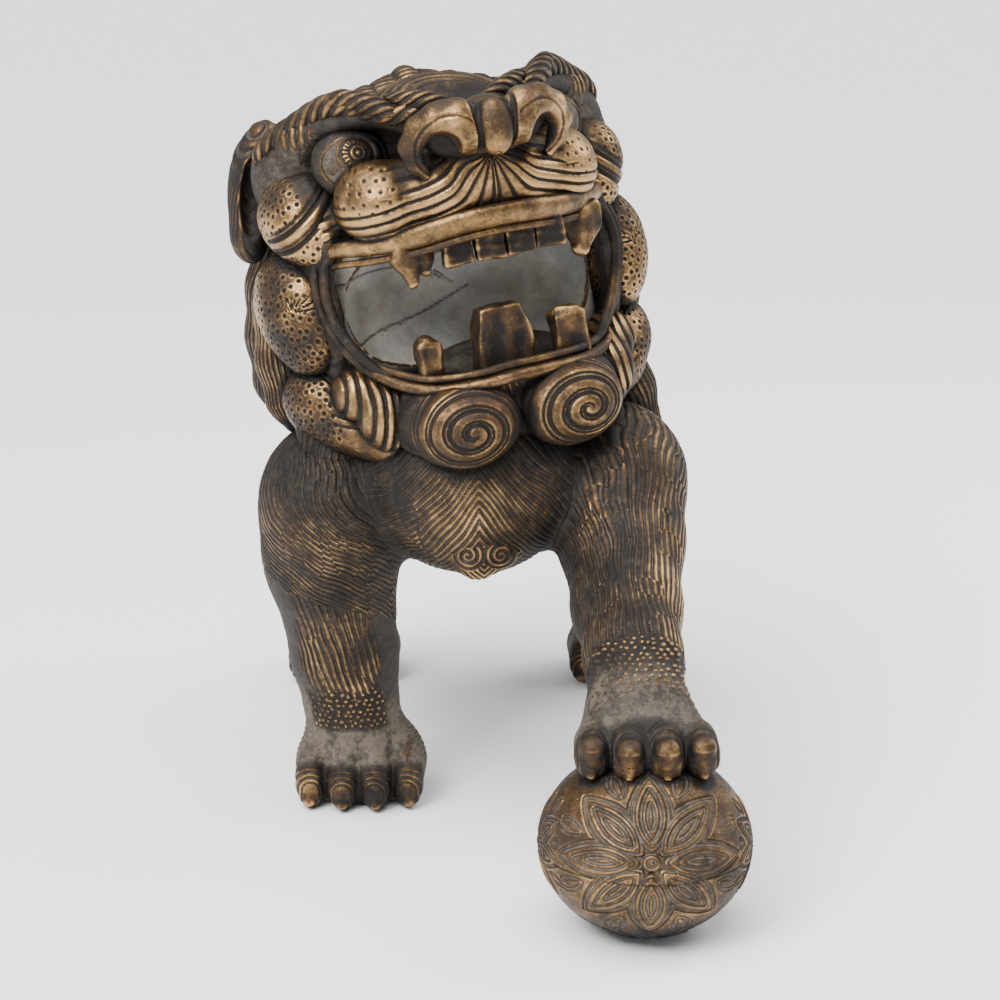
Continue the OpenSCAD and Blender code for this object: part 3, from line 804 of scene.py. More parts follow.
def carve(name, field, low, high, pattern, node, slot, cell=None, local=False, shade=1.0):
    """Meshes a field, presses the pattern into it and makes the piece."""
    cell = cell or CELL
    v, q = surface(field, low, high, cell)
    g = slope(field, v, cell * 0.5)
    size = np.maximum((g * g).sum(1, keepdims=True), 0.3)
    v = v - np.clip(evaluate(field, v)[:, None] / size, -cell, cell) * g
    links = neighbours(q, len(v))
    n = relax(slope(field, v, cell * 0.5), links, 2)
    n /= np.linalg.norm(n, axis=1, keepdims=True) + 1e-9
    p = np.ascontiguousarray(v.T, F)
    out = pattern(p, np.ascontiguousarray(n.T, F))
    v = v + n * out["h"][:, None]
    if local:
        v = v @ HEAD.T + HEAD_AT
        n = n @ HEAD.T
    fine, broad = relief(v, n, links)
    ridge = np.clip(fine / 0.16 * 0.6 + broad / 0.45 * 0.7, -1, 1)
    # how open each point is: closed places get thicker patina and painted shade; shade sets how strongly the
    # painted shade counts
    sky = open_air(v, n)
    strand = strand_vectors(out["u"], out["amount"])
    wear_and_shade = np.stack([out["gold"], ridge, 1 - shade * (1 - sky)], 1)
    wash = np.stack([out["dust"], out["grey"], out["copper"]], 1)
    return finish_piece(name, v, q, strand, wear_and_shade, wash, node, slot)


FINE, BROAD = 3, 14                    # rounds of smoothing that take away fine and broad relief


def relief(v, n, links):
    """How far fine and broad relief stands out at each point, in mm."""
    soft = relax(v, links, FINE)
    softer = relax(soft, links, BROAD)
    return ((v - soft) * n).sum(1), ((soft - softer) * n).sum(1)


def strand_vectors(u, amount):
    """The strand attribute: the phase within a strand as a direction, and how strong it is."""
    angle = (u - 0.5) * 2 * math.pi
    return np.stack([np.cos(angle), np.sin(angle), amount], 1)


def facing(v, quads):
    return np.cross(v[quads[:, 2]] - v[quads[:, 0]], v[quads[:, 3]] - v[quads[:, 1]])


def open_air(v, n):
    """How open the space above each point is, 0 in a crevice and 1 in the open."""
    sky = np.zeros(len(v), F)
    for reach, weight in ((2.5, 0.35), (7.0, 0.35), (16.0, 0.30)):
        sky += weight * np.clip(evaluate(whole_field, v + n * reach) / reach, 0, 1)
    return step(0.15, 0.85, sky)


def fur(out, u, amount, depth=0.5, sharp=2.4, along=None):
    if along is not None:
        amount = amount * tuck(u, along)
    out["h"] += strands(u, amount * depth, sharp)
    out["u"] = u
    out["amount"] = amount
    return out


# --- body patterns

def angle_about(p, ax, ay):
    return np.arctan2(p[0] - ax, -(p[1] - ay))


def calm_seams(out, p):
    """Lets relief and strands fade to a quarter on the joints between the trunk and the legs."""
    limbs = np.minimum.reduce([g(p) for g in LIMB_FIELDS.values()])
    calm = 0.25 + 0.75 * step(0.5, 4.0, np.abs(spine(p) - limbs))
    out["h"] *= calm
    out["amount"] *= calm


def leg_axis(name, z):
    """Where a leg's middle line is at height z (x, y)."""
    table = {
        "front_right_leg": ([0, 36, 66, 108, 137], [-51, -54, -57, -61, -59], [-9, -9, -14, -24, -28]),
        "hind_right_leg": ([0, 44, 60, 88, 132], [-69, -65, -64, -58, -48], [164, 164, 138, 108, 130]),
        "hind_left_leg": ([0, 44, 60, 88, 132], [69, 65, 64, 58, 48], [164, 164, 138, 108, 130]),
    }[name]
    return np.interp(z, table[0], table[1]), np.interp(z, table[0], table[2])


def toe_lines(p, out, c, width, height, reach, nail):
    """Nested arcs over the claws, with less pale dust round the toes; the claws themselves get more gold and
    a copper tint.
    """
    k = (p[0] - c[0]) / (width / 4.05)
    off = (k - np.clip(np.round(k - 0.5) + 0.5, -1.5, 1.5)) * width / 4.05
    front = p[1] - (c[1] - reach)
    z = p[2] - c[2]
    top = height * nail[0]
    reach_up = 0.30 if nail is NAIL_UP else 0.0
    low = step(0.80 + reach_up, 0.66 + reach_up, z / height) * step(9, 4, front)
    arc = np.where(z > top, np.hypot(off, (z - top) * 0.85), np.abs(off))
    u = arc / 1.9
    rings = low * step(nail[3], nail[3] + 0.7, arc) * step(9.8, 8.6, arc)
    out["h"] += -0.55 * rings * off_ridge(u) ** 2.5
    out["u"] = np.where(rings > 0.3, u, out["u"])
    out["amount"] = np.where(low > 0.3, rings, out["amount"])
    claw = low * step(nail[3] + 0.8, nail[3], arc)
    out["gold"] += low * (0.12 * step(9, 4.5, arc)) + 0.08 * claw
    out["copper"] += 0.5 * claw
    out["grey"] *= 1 - low * step(12, 9, arc)


def leg_pattern(name):
    top_of_leg = np.array([STANCE - 1, SHOULDER_Y - 4, BODY_Z], float)
    run = unit(np.array([STANCE + 3, -118, 80], float) - top_of_leg)
    across_leg = unit(np.array([1.0, 0, 0]) - run[0] * run)
    out_of_leg = np.cross(run, across_leg)

    def beads(out, zone, a, b, seed):
        d = dots(a, b, 2.9, seed)
        out["h"] += zone * (0.8 * np.sqrt(np.clip(1 - (d / 0.98) ** 2, 0, 1)) - 0.3 * bell(d, 0.4))
        out["gold"] += zone * (0.16 * step(1.1, 0.6, d) - 0.06)
        out["dust"] -= 0.3 * zone

    def pattern(p, n):
        out = blank(p)
        breaks = 0.95 if name == "front_left_leg" else 1.25
        warp = waves(p, 20, 11) * 0.8 + waves(p, 7, 12) * 0.22 + 0.5 * np.round(breaks * waves(p, 15, 13))
        if name == "front_left_leg":
            q = p - top_of_leg[:, None].astype(F)
            t = dot(q, run)
            a = np.arctan2(dot(q, across_leg), dot(q, out_of_leg))
            front = step(1.9, 1.3, np.abs(a))
            fan = 0.10 * np.clip(62 - t, 0, 60) * np.clip(-a + 0.1, 0, 1.2)
            u = a / (2 * math.pi) * 48 + warp * 0.8 + fan * 0.8
            from_paw = np.linalg.norm(p - (PAW_UP + [0, -2, 10])[:, None].astype(F), axis=0)
            edge = 34 + 2.0 * np.sin(a * 7)
            keep = step(0, 3, from_paw - edge)
            inner = step(1.1, 1.6, -a) * step(38, 62, t + 4 * np.sin(a * 9)) * keep
            out = fur(out, u, np.clip(keep * (1 - 0.85 * inner), 0, 1), 0.85, 2.0, along=t)
            out["gold"] = (0.17 + 0.14 * waves(p, 24, 7) + 0.24 * step(0.1, 0.8, a) * front * keep
                           - 0.10 * inner)
            dusty = step(4, -8, from_paw - edge + 6 * waves(p, 16, 14))
            out["grey"] = 0.65 * inner * (1 - dusty) + 1.3 * dusty
            bead = step(19, 22, from_paw) * step(41, 37, from_paw) * step(79, 83, p[2]) * step(-1.1, -0.7, a)
            out["h"] *= 1 - bead
            out["amount"] *= 1 - bead
            beads(out, bead, p[0], p[2] * 1.15 + p[1] * 0.45, 3)
        else:
            ax, ay = leg_axis(name, p[2])
            a = angle_about(p, ax, ay)
            inward = a * -np.sign(ax)
            fall = np.clip(150 - p[2], 0, None)
            lean = np.where(fall > 25, fall - 12.5, fall * fall / 50)
            u_sh = (inward * 27 - 1.45 * lean) / 3.4 + warp
            flame = (inward * 20 + 0.15 * (p[2] - 60)) / 2.4 + warp * 0.6
            tip = 94 - 9 * inward + 5.0 * np.abs(((a * 2.4) % 1) - 0.5)
            shoulder = p[2] > tip
            u = np.where(shoulder, u_sh, flame)
            front = step(0.95, 0.70, np.abs(a) + 0.010 * np.abs(p[2] - 70))
            low_part = (~shoulder).astype(F)
            smooth = (1 - front) * low_part
            keep = step(50, 56, p[2] + 2 * np.sin(a * 8))
            amount = keep * (1 - 0.92 * smooth)
            out = fur(out, u, np.clip(amount, 0, 1), 0.78, 2.0, along=np.where(shoulder, inward * 27, p[2]))
            out["h"] += 0.5 * step(-0.5, 0.8, p[2] - tip) * step(14, 4, p[2] - tip)
            out["gold"] = 0.17 + 0.15 * waves(p, 24, 8) + 0.16 * front * keep * low_part
            out["gold"] -= 0.05 * step(40, 20, p[2])
            dusty = step(60, 36, p[2] + 8 * waves(p, 18, 14))
            out["grey"] = np.clip(0.75 * smooth, 0, 0.8) * (1 - dusty) + 1.5 * dusty
            bead = step(34, 38, p[2]) * (1 - keep) * step(0.95, 0.75, np.abs(a))
            beads(out, bead, a * 21, p[2], 5)
            out["grey"] *= 1 - 0.8 * bead
            fringe = step(16, 19, p[2]) * step(34, 28, p[2]) * step(1.0, 1.4, np.abs(a))
            fu = (p[2] + 6 * np.abs(a)) / 2.4
            out["h"] += strands(fu, fringe * 0.6)
            out["u"] = np.where(fringe > 0.3, fu, out["u"])
            out["amount"] = np.where(fringe > 0.3, fringe, out["amount"])
        calm_seams(out, p)
        toe_lines(p, out, *PAWS[name])
        out["h"] += 0.14 * waves(p, 7, 21) + 0.08 * waves(p, 3.2, 22)
        return out
    return pattern


def torso_pattern(p, n):
    out = blank(p)
    warp = waves(p, 22, 31) * 0.9 + waves(p, 8, 32) * 0.3 + 0.5 * np.round(1.3 * waves(p, 16, 33))
    a = np.arctan2(p[0], p[2] - BODY_Z)
    s = np.abs(p[0])
    u_side = np.abs(a) / (2 * math.pi) * 126 + (p[1] * 0.06) * np.sin(a * 2) + warp
    near = (p[2] + s * 1.15) * 0.66 / 2.3 + 0.55 * waves(p, 13, 36)
    far = (p[2] + s * 0.35 + p[1] * 0.35) * 0.92 / 2.15 + warp
    chest = step(FRONT_Y + 62, FRONT_Y + 46, p[1] + 0.25 * (p[2] - BODY_Z))
    v_edge = np.where(p[0] < 0, 15, 25) + 0.5 * (p[2] - 118) + 3.5 * waves(p, 15, 38)
    v_zone = s < v_edge
    u = np.where(chest > 0.5, np.where(v_zone, near, far), u_side)
    low = step(112, 104, p[2]) * (1 - chest)
    amount = np.clip(1 - 0.5 * low, 0, 1)
    out = fur(out, u, amount, 0.60, 2.2, along=np.where(chest > 0.5, p[0], p[1]))
    out["h"] -= 0.25 * bell(s - v_edge, 0.8) * chest
    ridge = step(8, 3, s) * step(FRONT_Y + 100, FRONT_Y + 112, p[1]) * step(160, 170, p[2])
    out["h"] += ridge * (1.5 + 1.1 * np.cos(p[1] * 2 * math.pi / 9.0))
    out["gold"] = 0.19 + 0.15 * waves(p, 26, 34) + 0.10 * ridge + 0.10 * chest * step(30, 10, s)
    calm_seams(out, p)
    out["h"] += 0.12 * waves(p, 8, 35) + 0.08 * waves(p, 3.2, 37)
    return out


def tuft_pattern(p, n):
    out = blank(p)
    x, z = p[0] - 2.0, p[2] - (BODY_Z - 21)
    whorl = spiral(np.abs(x) - 6.5, z, 2.5, 1)
    flame = (z * 0.9 - np.abs(x) * 0.9) / 2.3
    inner = np.hypot(np.abs(x) - 6.5, z) < 7.0
    u = np.where(inner, whorl, flame)
    out = fur(out, u, np.full_like(u, 0.9), 0.8, 2.0)
    out["gold"] = 0.34 + 0.12 * waves(p, 10, 151)
    out["copper"] += 0.5
    return out


# --- head patterns

def lip_line(s):
    """Height of the upper lip's top edge at distance s from the middle."""
    return 25.5 - 0.0012 * s * s


def skull_pattern(p, n):
    out = blank(p)
    s = np.abs(p[0] - NOSE_X * step(45, 20, np.abs(p[0])))
    t = p[2] - lip_line(s)
    front = step(-10, -20, p[1]) * step(0.0, 1.5, t)
    # folds fan out below the nose and run level round the cheeks
    fan = np.arctan2(s, np.maximum(24 - t, 0.5)) / (math.pi / 2) * 5.0 - 2.2
    slant = (t - 18 * np.exp(-s / 17.0)) / 4.3
    blend = step(8, 18, s)
    u = fan * (1 - blend) + slant * blend + 0.10 * waves(p, 14, 41)
    knob = np.hypot((s - 46) * 0.8, p[2] - 42)
    folds = front * step(31, 27, t) * step(9.0, 14, knob + 3.5 * (p[2] < 38))
    out["h"] += strands(u + 0.05 * waves(p, 6, 46), folds * (0.55 + 0.45 * step(2, 20, s)) * 1.15, 3.8)
    arc = np.hypot(p[0] * 0.9, (p[1] + 60) * 0.8)
    back = step(-30, -22, p[1]) * step(54, 60, p[2])
    u_top = arc / 3.6 + waves(p, 14, 42) * 0.45
    u_back = p[0] / 2.2 + waves(p, 14, 43) * 0.8 + p[2] * 0.05 * np.sign(p[0])
    rear = step(20, 30, p[1])
    top = (1 - front) * np.maximum(back, rear)
    uu = np.where(front > 0.5, u, np.where(rear > 0.5, u_back, u_top))
    top = top * tuck(uu, np.where(rear > 0.5, p[2], p[0]), 18)
    out["h"] += strands(uu, top * 1.25, 1.8)
    out["u"] = uu
    out["amount"] = np.clip(folds * 0.78 + top * 0.8, 0, 1)
    inside = step(3.0, 1.0, mouth_gap(p)) * (p[1] < 8)
    out["amount"] *= 1 - inside
    lid_zone = step(26, 16, np.hypot(s - 42, (p[2] - 54) * 1.1)) * (p[1] < 4) * step(40, 46, p[2] + 0.3 * s)
    lid_zone *= 1 - front * step(30, 26, t)
    out["gold"] = 0.19 + 0.44 * front * step(0, 2, t) * step(33, 27, t) - 0.45 * inside - 0.08 * lid_zone
    out["gold"] += 0.06 * waves(p, 22, 44) + 0.10 * front * step(13, 8, knob)
    out["dust"] = 0.8 - 0.55 * front
    side = step(46, 53, s) * step(28, 36, p[2]) * step(64, 58, p[2]) * (1 - front)
    out["grey"] = np.clip(inside + 0.60 * lid_zone, 0, 1) + 0.9 * side * (1 - inside)
    out["gold"] += 0.19 * back * (1 - front)
    pit = dots(s - 42 + p[1] * 0.4, p[2] - 41, 4.6, 9)
    out["h"] -= 0.7 * bell(pit, 0.6) * front * step(13, 9, knob) * (p[2] > 30)
    out["h"] += 0.10 * waves(p, 7, 45)
    return out


def jaw_pattern(p, n):
    out = blank(p)
    u = p[0] / 2.3 + 0.10 * (p[2] + 50) * np.sign(p[0]) + waves(p, 12, 51) * 0.4
    mid = step(9, 6.5, np.abs(p[0])) * step(-38, -44, p[1])
    under = step(-58, -60, p[2])
    out = fur(out, u, np.clip(mid + under * 0.8, 0, 1), 0.7)
    out["gold"] = 0.26 + 0.06 * waves(p, 20, 52)
    inner = step(-37, -33, p[2]) * (p[1] > -50) + step(-40, -38, p[2]) * step(-46, -42, p[1])
    out["grey"] = np.clip(inner, 0, 1)
    out["gold"] -= 0.35 * np.clip(inner, 0, 1)
    return out


def chin_pattern(side):
    c = np.array([23.5 * side, -68.5, -51.5])

    def pattern(p, n):
        out = blank(p)
        bent = np.clip(-p[1] - 52, -20, 30)
        a = (p[0] - c[0] + side * np.clip(12 - bent, 0, 20) * 0.55 * (p[0] * side > c[0] * side)) / 1.22
        b = (p[2] - c[2]) * 1.02
        r = np.hypot(a, b)
        u = spiral(a, b, 5.6, -side) + 0.15
        face = step(0.25, -0.05, n[1])
        w = off_ridge(u)
        bulge = -1.35 * w ** 4.0
        on = face * step(0.6, 2.2, r)
        line = bell(((u + 0.24) % 1) - 0.5, 0.060) * 0.75
        out["h"] += on * (bulge - line)
        out["u"] = u
        out["amount"] = np.clip(on * 0.72, 0, 1)
        out["gold"] = 0.365 + 0.18 * waves(p, 14, 61) - 0.06 * (1 - face) - 0.45 * on * line
        out["dust"] = np.full_like(r, 0.22)
        out["copper"] = np.full_like(r, 0.9)
        return out
    return pattern


def curl_pattern(side, n_curl):
    """Cheek lobes: ringed punch marks, and bold cuts running towards the mouth."""
    mids = {1: (62, -8, 27), 2: (66, -6, -8), 3: (56, -10, -48), 4: (49, -29, -44)}
    c = np.array(mids[n_curl], float)

    def pattern(p, n):
        out = blank(p)
        x = p[0] * side - c[0]
        a = (p[1] - c[1]) - x * 0.9
        b = p[2] - c[2]
        d = scattered(p, 2.75, 7 + n_curl)
        if n_curl == 1:
            q = b * 0.80 + (x - 3) * 0.62
            slots = ((3.2, 1.0), (-3.0, 1.0), (5.2, 0.45), (-1.2, 0.35))
            cuts = sum(w * bell(q - k, 0.85) for k, w in slots)
            where = step(1, -4, p[1]) * step(13, 9, np.abs(x + b * 0.2))
            clear = step(5.5, 4.0, np.abs(q))
            plain = step(7, 12, b) * step(3, -3, x)
        elif n_curl == 2:
            ray = np.arctan2(b - 6, -(x - 6)) * 3.4
            cuts = 0.9 * off_ridge(ray) ** 7 * step(12, 15, b + 8) * step(18, 14, b + 6)
            cuts = cuts * step(10, 6, x)
            where = step(4, -4, p[1])
            clear = step(3, 6, b) * step(14, 10, b) * step(8, 4, x) * 0.7
            plain = 0 * b
        elif n_curl == 3:
            r = np.hypot(x + 4, b - 26)
            band = r / 3.6
            cuts = off_ridge(band) ** 4 * step(10, 12, r) * step(31, 27, r)
            where = step(2, -6, p[1]) * step(10, 5, x)
            clear = where
            plain = 0 * b
        else:
            q = (x * 0.9 + b * 0.15) / 3.7
            cuts = off_ridge(q) ** 3.0
            where = step(-8, -14, p[1])
            clear = np.ones_like(x)
            plain = 0 * b
        cuts = np.clip(cuts * where, 0, 1)
        dimple = punched(d, 0.62, 0.16) * (1 - np.clip(where * clear, 0, 1)) * (1 - cuts) * (1 - plain)
        out["h"] += dimple * 0.9 - 1.3 * cuts + 0.3 * waves(p, 9, 71)
        out["u"] = np.zeros_like(a)
        out["amount"] = np.clip(cuts, 0, 1)
        out["gold"] = ((0.66 if n_curl == 1 else 0.51) + 0.20 * waves(p, 14, 72 + n_curl) - 0.25 * cuts
                       - 0.22 * plain)
        hole = bell(d, 0.7) * (1 - np.clip(where * clear, 0, 1))
        out["gold"] -= 0.5 * hole
        out["dust"] = 0.25 - 0.2 * hole
        out["grey"] = 0.5 * plain
        return out
    return pattern


def nose_pattern(p, n):
    out = blank(p)
    x = p[0] - NOSE_X
    s = np.abs(x)
    out["gold"] = 0.52 + 0.18 * waves(p, 11, 81)
    seam = bell(s - 6.6 - 0.10 * (p[2] - 56), 0.8) * step(72, 68, p[2]) * step(-60, -63, p[1])
    out["h"] -= 0.9 * seam
    out["gold"] -= 0.45 * seam
    edge = np.hypot(s - 17.5, (p[2] - 55)) - 11.8
    out["h"] -= 0.35 * bell(edge, 0.6) * (s > 9)
    out["gold"] -= 0.35 * step(10, 6, np.hypot(s - 18.5, p[2] - 52)) * step(-66, -60, p[1])
    out["gold"] -= 0.25 * step(49, 45, p[2]) * (s < 12) + 0.3 * step(-56, -52, p[1]) * (p[2] < 62)
    out["dust"] = np.full_like(s, 0.3)
    out["copper"] = np.full_like(s, 1.0)
    return out


def ear_pattern(p, n):
    out = blank(p)
    s = np.abs(p[0])
    u = (p[2] * 0.25 + p[1]) / 2.2 + waves(p, 12, 91) * 0.5
    out = fur(out, u, np.full_like(u, 0.9) * step(50, 42, p[2]), 0.55, along=p[2])
    top = step(48, 54, p[2])
    braid = (p[2] * 0.8 + s * 0.6 - p[1] * 0.3) / 3.6
    out["h"] -= top * 1.0 * off_ridge(braid) ** 2.5
    out["u"] = np.where(top > 0.5, braid, out["u"])
    out["amount"] = np.where(top > 0.5, 1.0, out["amount"])
    out["gold"] = 0.18 - 0.06 * top + 0.26 * step(76, 80, s) * step(24, 16, p[1])
    return out


def lock_pattern(balls, side, seed):
    """Fur lines down a lock of the mane."""
    pts = np.array([b[:3] for b in balls], float) * [side, 1, 1]

    def pattern(p, n):
        out = blank(p)
        t = np.interp(-p[2], -pts[:, 2], np.arange(len(pts)))
        cx = np.interp(t, np.arange(len(pts)), pts[:, 0])
        cy = np.interp(t, np.arange(len(pts)), pts[:, 1])
        a = np.arctan2(p[1] - cy, (p[0] - cx) * side)
        u = a / (2 * math.pi) * 34 + waves(p, 16, seed) * 0.4 + np.sin(p[2] / 9.0) * 0.4
        tip = step(len(pts) - 1.05, len(pts) - 1.4, t)
        out = fur(out, u, np.clip(0.35 + 0.65 * tip, 0, 1), 0.85, 1.9, along=p[2])
        out["gold"] = 0.20 + 0.13 * waves(p, 22, seed + 1)
        return out
    return pattern


def crown_pattern(p, n):
    out = blank(p)
    a = (p[0] + 200) / 10.0
    out["h"] += 1.3 * np.abs(np.cos(a * math.pi)) ** 0.7
    u = (p[1] * 0.7 + p[2]) / 2.3
    out = fur(out, u, np.full_like(u, 0.7), 0.5)
    out["gold"] = 0.22 + 0.10 * waves(p, 16, 95)
    return out


def plain_pattern(gold, bump=0.12, size=7, seed=1, dust=0.4, grey=0.0, copper=0.5):
    def pattern(p, n):
        out = blank(p)
        out["gold"] = gold + 0.10 * waves(p, 16, seed) + 0.08 * waves(p, 5, seed + 2)
        out["h"] += bump * waves(p, size, seed + 1)
        out["dust"] += F(dust - 0.8)
        out["grey"] += F(grey)
        out["copper"] += F(copper - 0.5)
        return out
    return pattern


def eye_pattern(side):
    look = unit(np.array([-0.12 * side, -0.93, 0.34]))
    c = (EYE + [0.5, 0, 1.5]) * [side, 1, 1]

    def pattern(p, n):
        out = blank(p)
        d = [(p[i] - c[i]) / 13.0 for i in range(3)]
        ang = np.arccos(np.clip(dot(d, look), -1, 1)) * 13.0
        a = np.arctan2(d[2] - look[2], d[0] - look[0])
        ring = (bell(ang - 2.0, 0.5) + bell(ang - 3.8, 0.45)
                + bell(ang - 7.2, 0.5))
        ticks = np.abs(np.cos(a * 11)) ** 3 * step(4.2, 4.6, ang) * step(7.0, 6.6, ang)
        out["h"] += -0.8 * ring - 0.6 * ticks
        out["gold"] = 0.16 + 0.16 * step(7.5, 6.8, ang) * np.abs(np.sin(a * 11)) - 0.2 * ring
        out["grey"] = 1.35 * step(6.5, 8, ang)
        out["dust"] = np.full_like(a, 0.5)
        return out
    return pattern


def make_ball():
    """The brocade ball: a fine grid over a cube swollen to a sphere, with flowers pressed in."""
    n = 190
    t = np.tan(np.linspace(-1, 1, n) * math.pi / 4)
    a, b = np.meshgrid(t, t, indexing="ij")
    one = np.ones_like(a)
    faces = [(a, b, one), (b, a, -one), (one, a, b), (-one, b, a), (b, one, a), (a, -one, b)]
    pts = np.concatenate([np.stack(f, -1).reshape(-1, 3) for f in faces])
    pts /= np.linalg.norm(pts, axis=1, keepdims=True)
    idx = np.arange(n * n).reshape(n, n)
    q = np.stack([idx[:-1, :-1], idx[1:, :-1], idx[1:, 1:], idx[:-1, 1:]], -1).reshape(-1, 4)
    quads = np.concatenate([q + k * n * n for k in range(6)])
    key = np.round(pts * 1e5).astype(np.int64)
    _, first, back = np.unique(key, axis=0, return_index=True, return_inverse=True)
    pts = pts[first]
    quads = back.reshape(-1)[quads]
    h, amount_gold, groove = flower_relief(pts)
    r = np.array([BALL_R, BALL_R, BALL_HALF])
    v = BALL_AT + pts * r
    nrm = pts / r
    nrm /= np.linalg.norm(nrm, axis=1, keepdims=True)
    v = v + nrm * h[:, None]
    v[:, 2] = np.maximum(v[:, 2], 0.0)
    # outward faces
    mid = v[quads].mean(1) - BALL_AT
    wrong = (facing(v, quads) * mid).sum(1) < 0
    quads[wrong] = quads[wrong][:, ::-1]
    fine, broad = relief(v, nrm, neighbours(quads, len(v)))
    ridge = np.clip(fine / 0.10 + broad / 0.4, -1, 1)
    # painted shade: where the body and the floor close in on the ball its colour darkens, with thicker patina
    # there
    sky = np.ones(len(v), F)
    for reach, weight in ((4.0, 0.4), (12.0, 0.6)):
        p = v + nrm * reach
        sky -= weight * (1 - np.clip(np.minimum(evaluate(body_field, p), p[:, 2]) / reach, 0, 1))
    strand = np.zeros((len(v), 3))
    strand[:, 0] = 1
    wear_and_shade = np.stack([0.50 + amount_gold, ridge * 0.4, step(0.1, 0.8, sky)], 1)
    wash = np.stack([np.full(len(v), 0.9), groove, np.full(len(v), 0.5)], 1)
    finish_piece("brocade_ball_body", v, quads, strand, wear_and_shade, wash, "brocade_ball", "gold_bronze")


def flower_relief(pts):
    """Eight-petalled flowers on six sides of the ball, leaves in the gaps between them."""
    h = np.zeros(len(pts))
    groove = np.zeros(len(pts))
    tilt = turn_x(math.radians(-12))
    axes = [tilt @ np.array(a, float) for a in
            ((0, -1, 0), (0, 1, 0), (1, 0, 0), (-1, 0, 0), (0, 0, 1), (0, 0, -1))]
    reach = [58, 58, 36, 36, 36, 36]
    spread = np.degrees(np.arccos(np.clip(np.stack([pts @ a for a in axes]), -1, 1)))
    owner = np.argmin(spread - np.array(reach)[:, None], 0)
    for i, a in enumerate(axes):
        up = np.array([0, 0, 1.0]) if abs(a[2]) < 0.8 else np.array([0, -1.0, 0])
        e1 = unit(np.cross(up, a))
        e2 = np.cross(a, e1)
        c = pts @ a
        own = owner == i
        ang = np.degrees(np.arccos(np.clip(c, -1, 1))) * (58 / reach[i])
        phi = np.arctan2(pts @ e2, pts @ e1)
        k = phi / (2 * math.pi) * 8
        w = (k - np.round(k)) * 2 * math.pi / 8
        x = ang * np.cos(w)
        y = ang * np.sin(w)
        rel = np.zeros(len(pts))
        dark = np.zeros(len(pts))
        for x0, x1, wide, depth in ((6, 57, 12.2, 0.9), (8.5, 53, 9.5, 0.75), (13, 45, 5.4, 0.75),
                                    (19, 36, 1.9, 0.55)):
            t = np.clip((x - x0) / (x1 - x0), 0, 1)
            edge = wide * np.sin(math.pi * t ** 0.85) ** 0.8
            d = (np.abs(y) - edge) * 0.62
            line = ((x > x0 - 0.5) & (x < x1 + 0.5)) * bell(d, 0.68)
            rel -= depth * line
            dark = np.maximum(dark, line)
            if wide > 12:
                rel += 0.5 * step(0.5, -2.5, d) * ((x > x0) & (x < x1))
        for radius, depth in ((5.4, 0.7), (2.0, 0.5)):
            line = bell(ang - radius, 0.85)
            rel -= depth * line
            dark = np.maximum(dark, line)
        rel += 0.6 * step(5.2, 4.0, ang)
        k2 = k - 0.5
        w2 = (k2 - np.round(k2)) * 2 * math.pi / 8
        x2, y2 = ang * np.cos(w2), ang * np.sin(w2)
        for x0, x1, wide in ((41, 64, 5.8), (44, 60, 3.0)):
            t = np.clip((x2 - x0) / (x1 - x0), 0, 1)
            d = (np.abs(y2) - wide * np.sin(math.pi * t) ** 0.7) * 0.62
            line = ((x2 > x0 - 0.5) & (x2 < x1 + 0.5)) * bell(d, 0.6)
            rel -= 0.6 * line
            dark = np.maximum(dark, line)
        h += np.where(own, rel, 0)
        groove += np.where(own, dark, 0)
    line = bell(np.abs(pts[:, 2] + 0.03) * 38, 0.5)
    h -= 0.4 * line
    gold = 0.08 * waves(pts.T.astype(F) * 38, 22, 101) - 0.30 * groove
    return h, gold, np.clip(groove * 1.6, 0, 1.6)


ROPE_TIP = 0.35                        # the ends' radius as a share of the rope's


def smooth_path(path, steps):
    """Evenly counted points on a smooth curve through path, and where each lies along it."""
    t = np.linspace(0, len(path) - 1, steps)
    i = np.clip(t.astype(int), 0, len(path) - 2)
    f = (t - i)[:, None]
    pad = np.vstack([2 * path[0] - path[1], path, 2 * path[-1] - path[-2]])
    p0, p1, p2, p3 = pad[i], pad[i + 1], pad[i + 2], pad[i + 3]
    mid = 0.5 * (2 * p1 + (p2 - p0) * f + (2 * p0 - 5 * p1 + 4 * p2 - p3) * f ** 2
                 + (3 * p1 - p0 - 3 * p2 + p3) * f ** 3)
    return t, mid


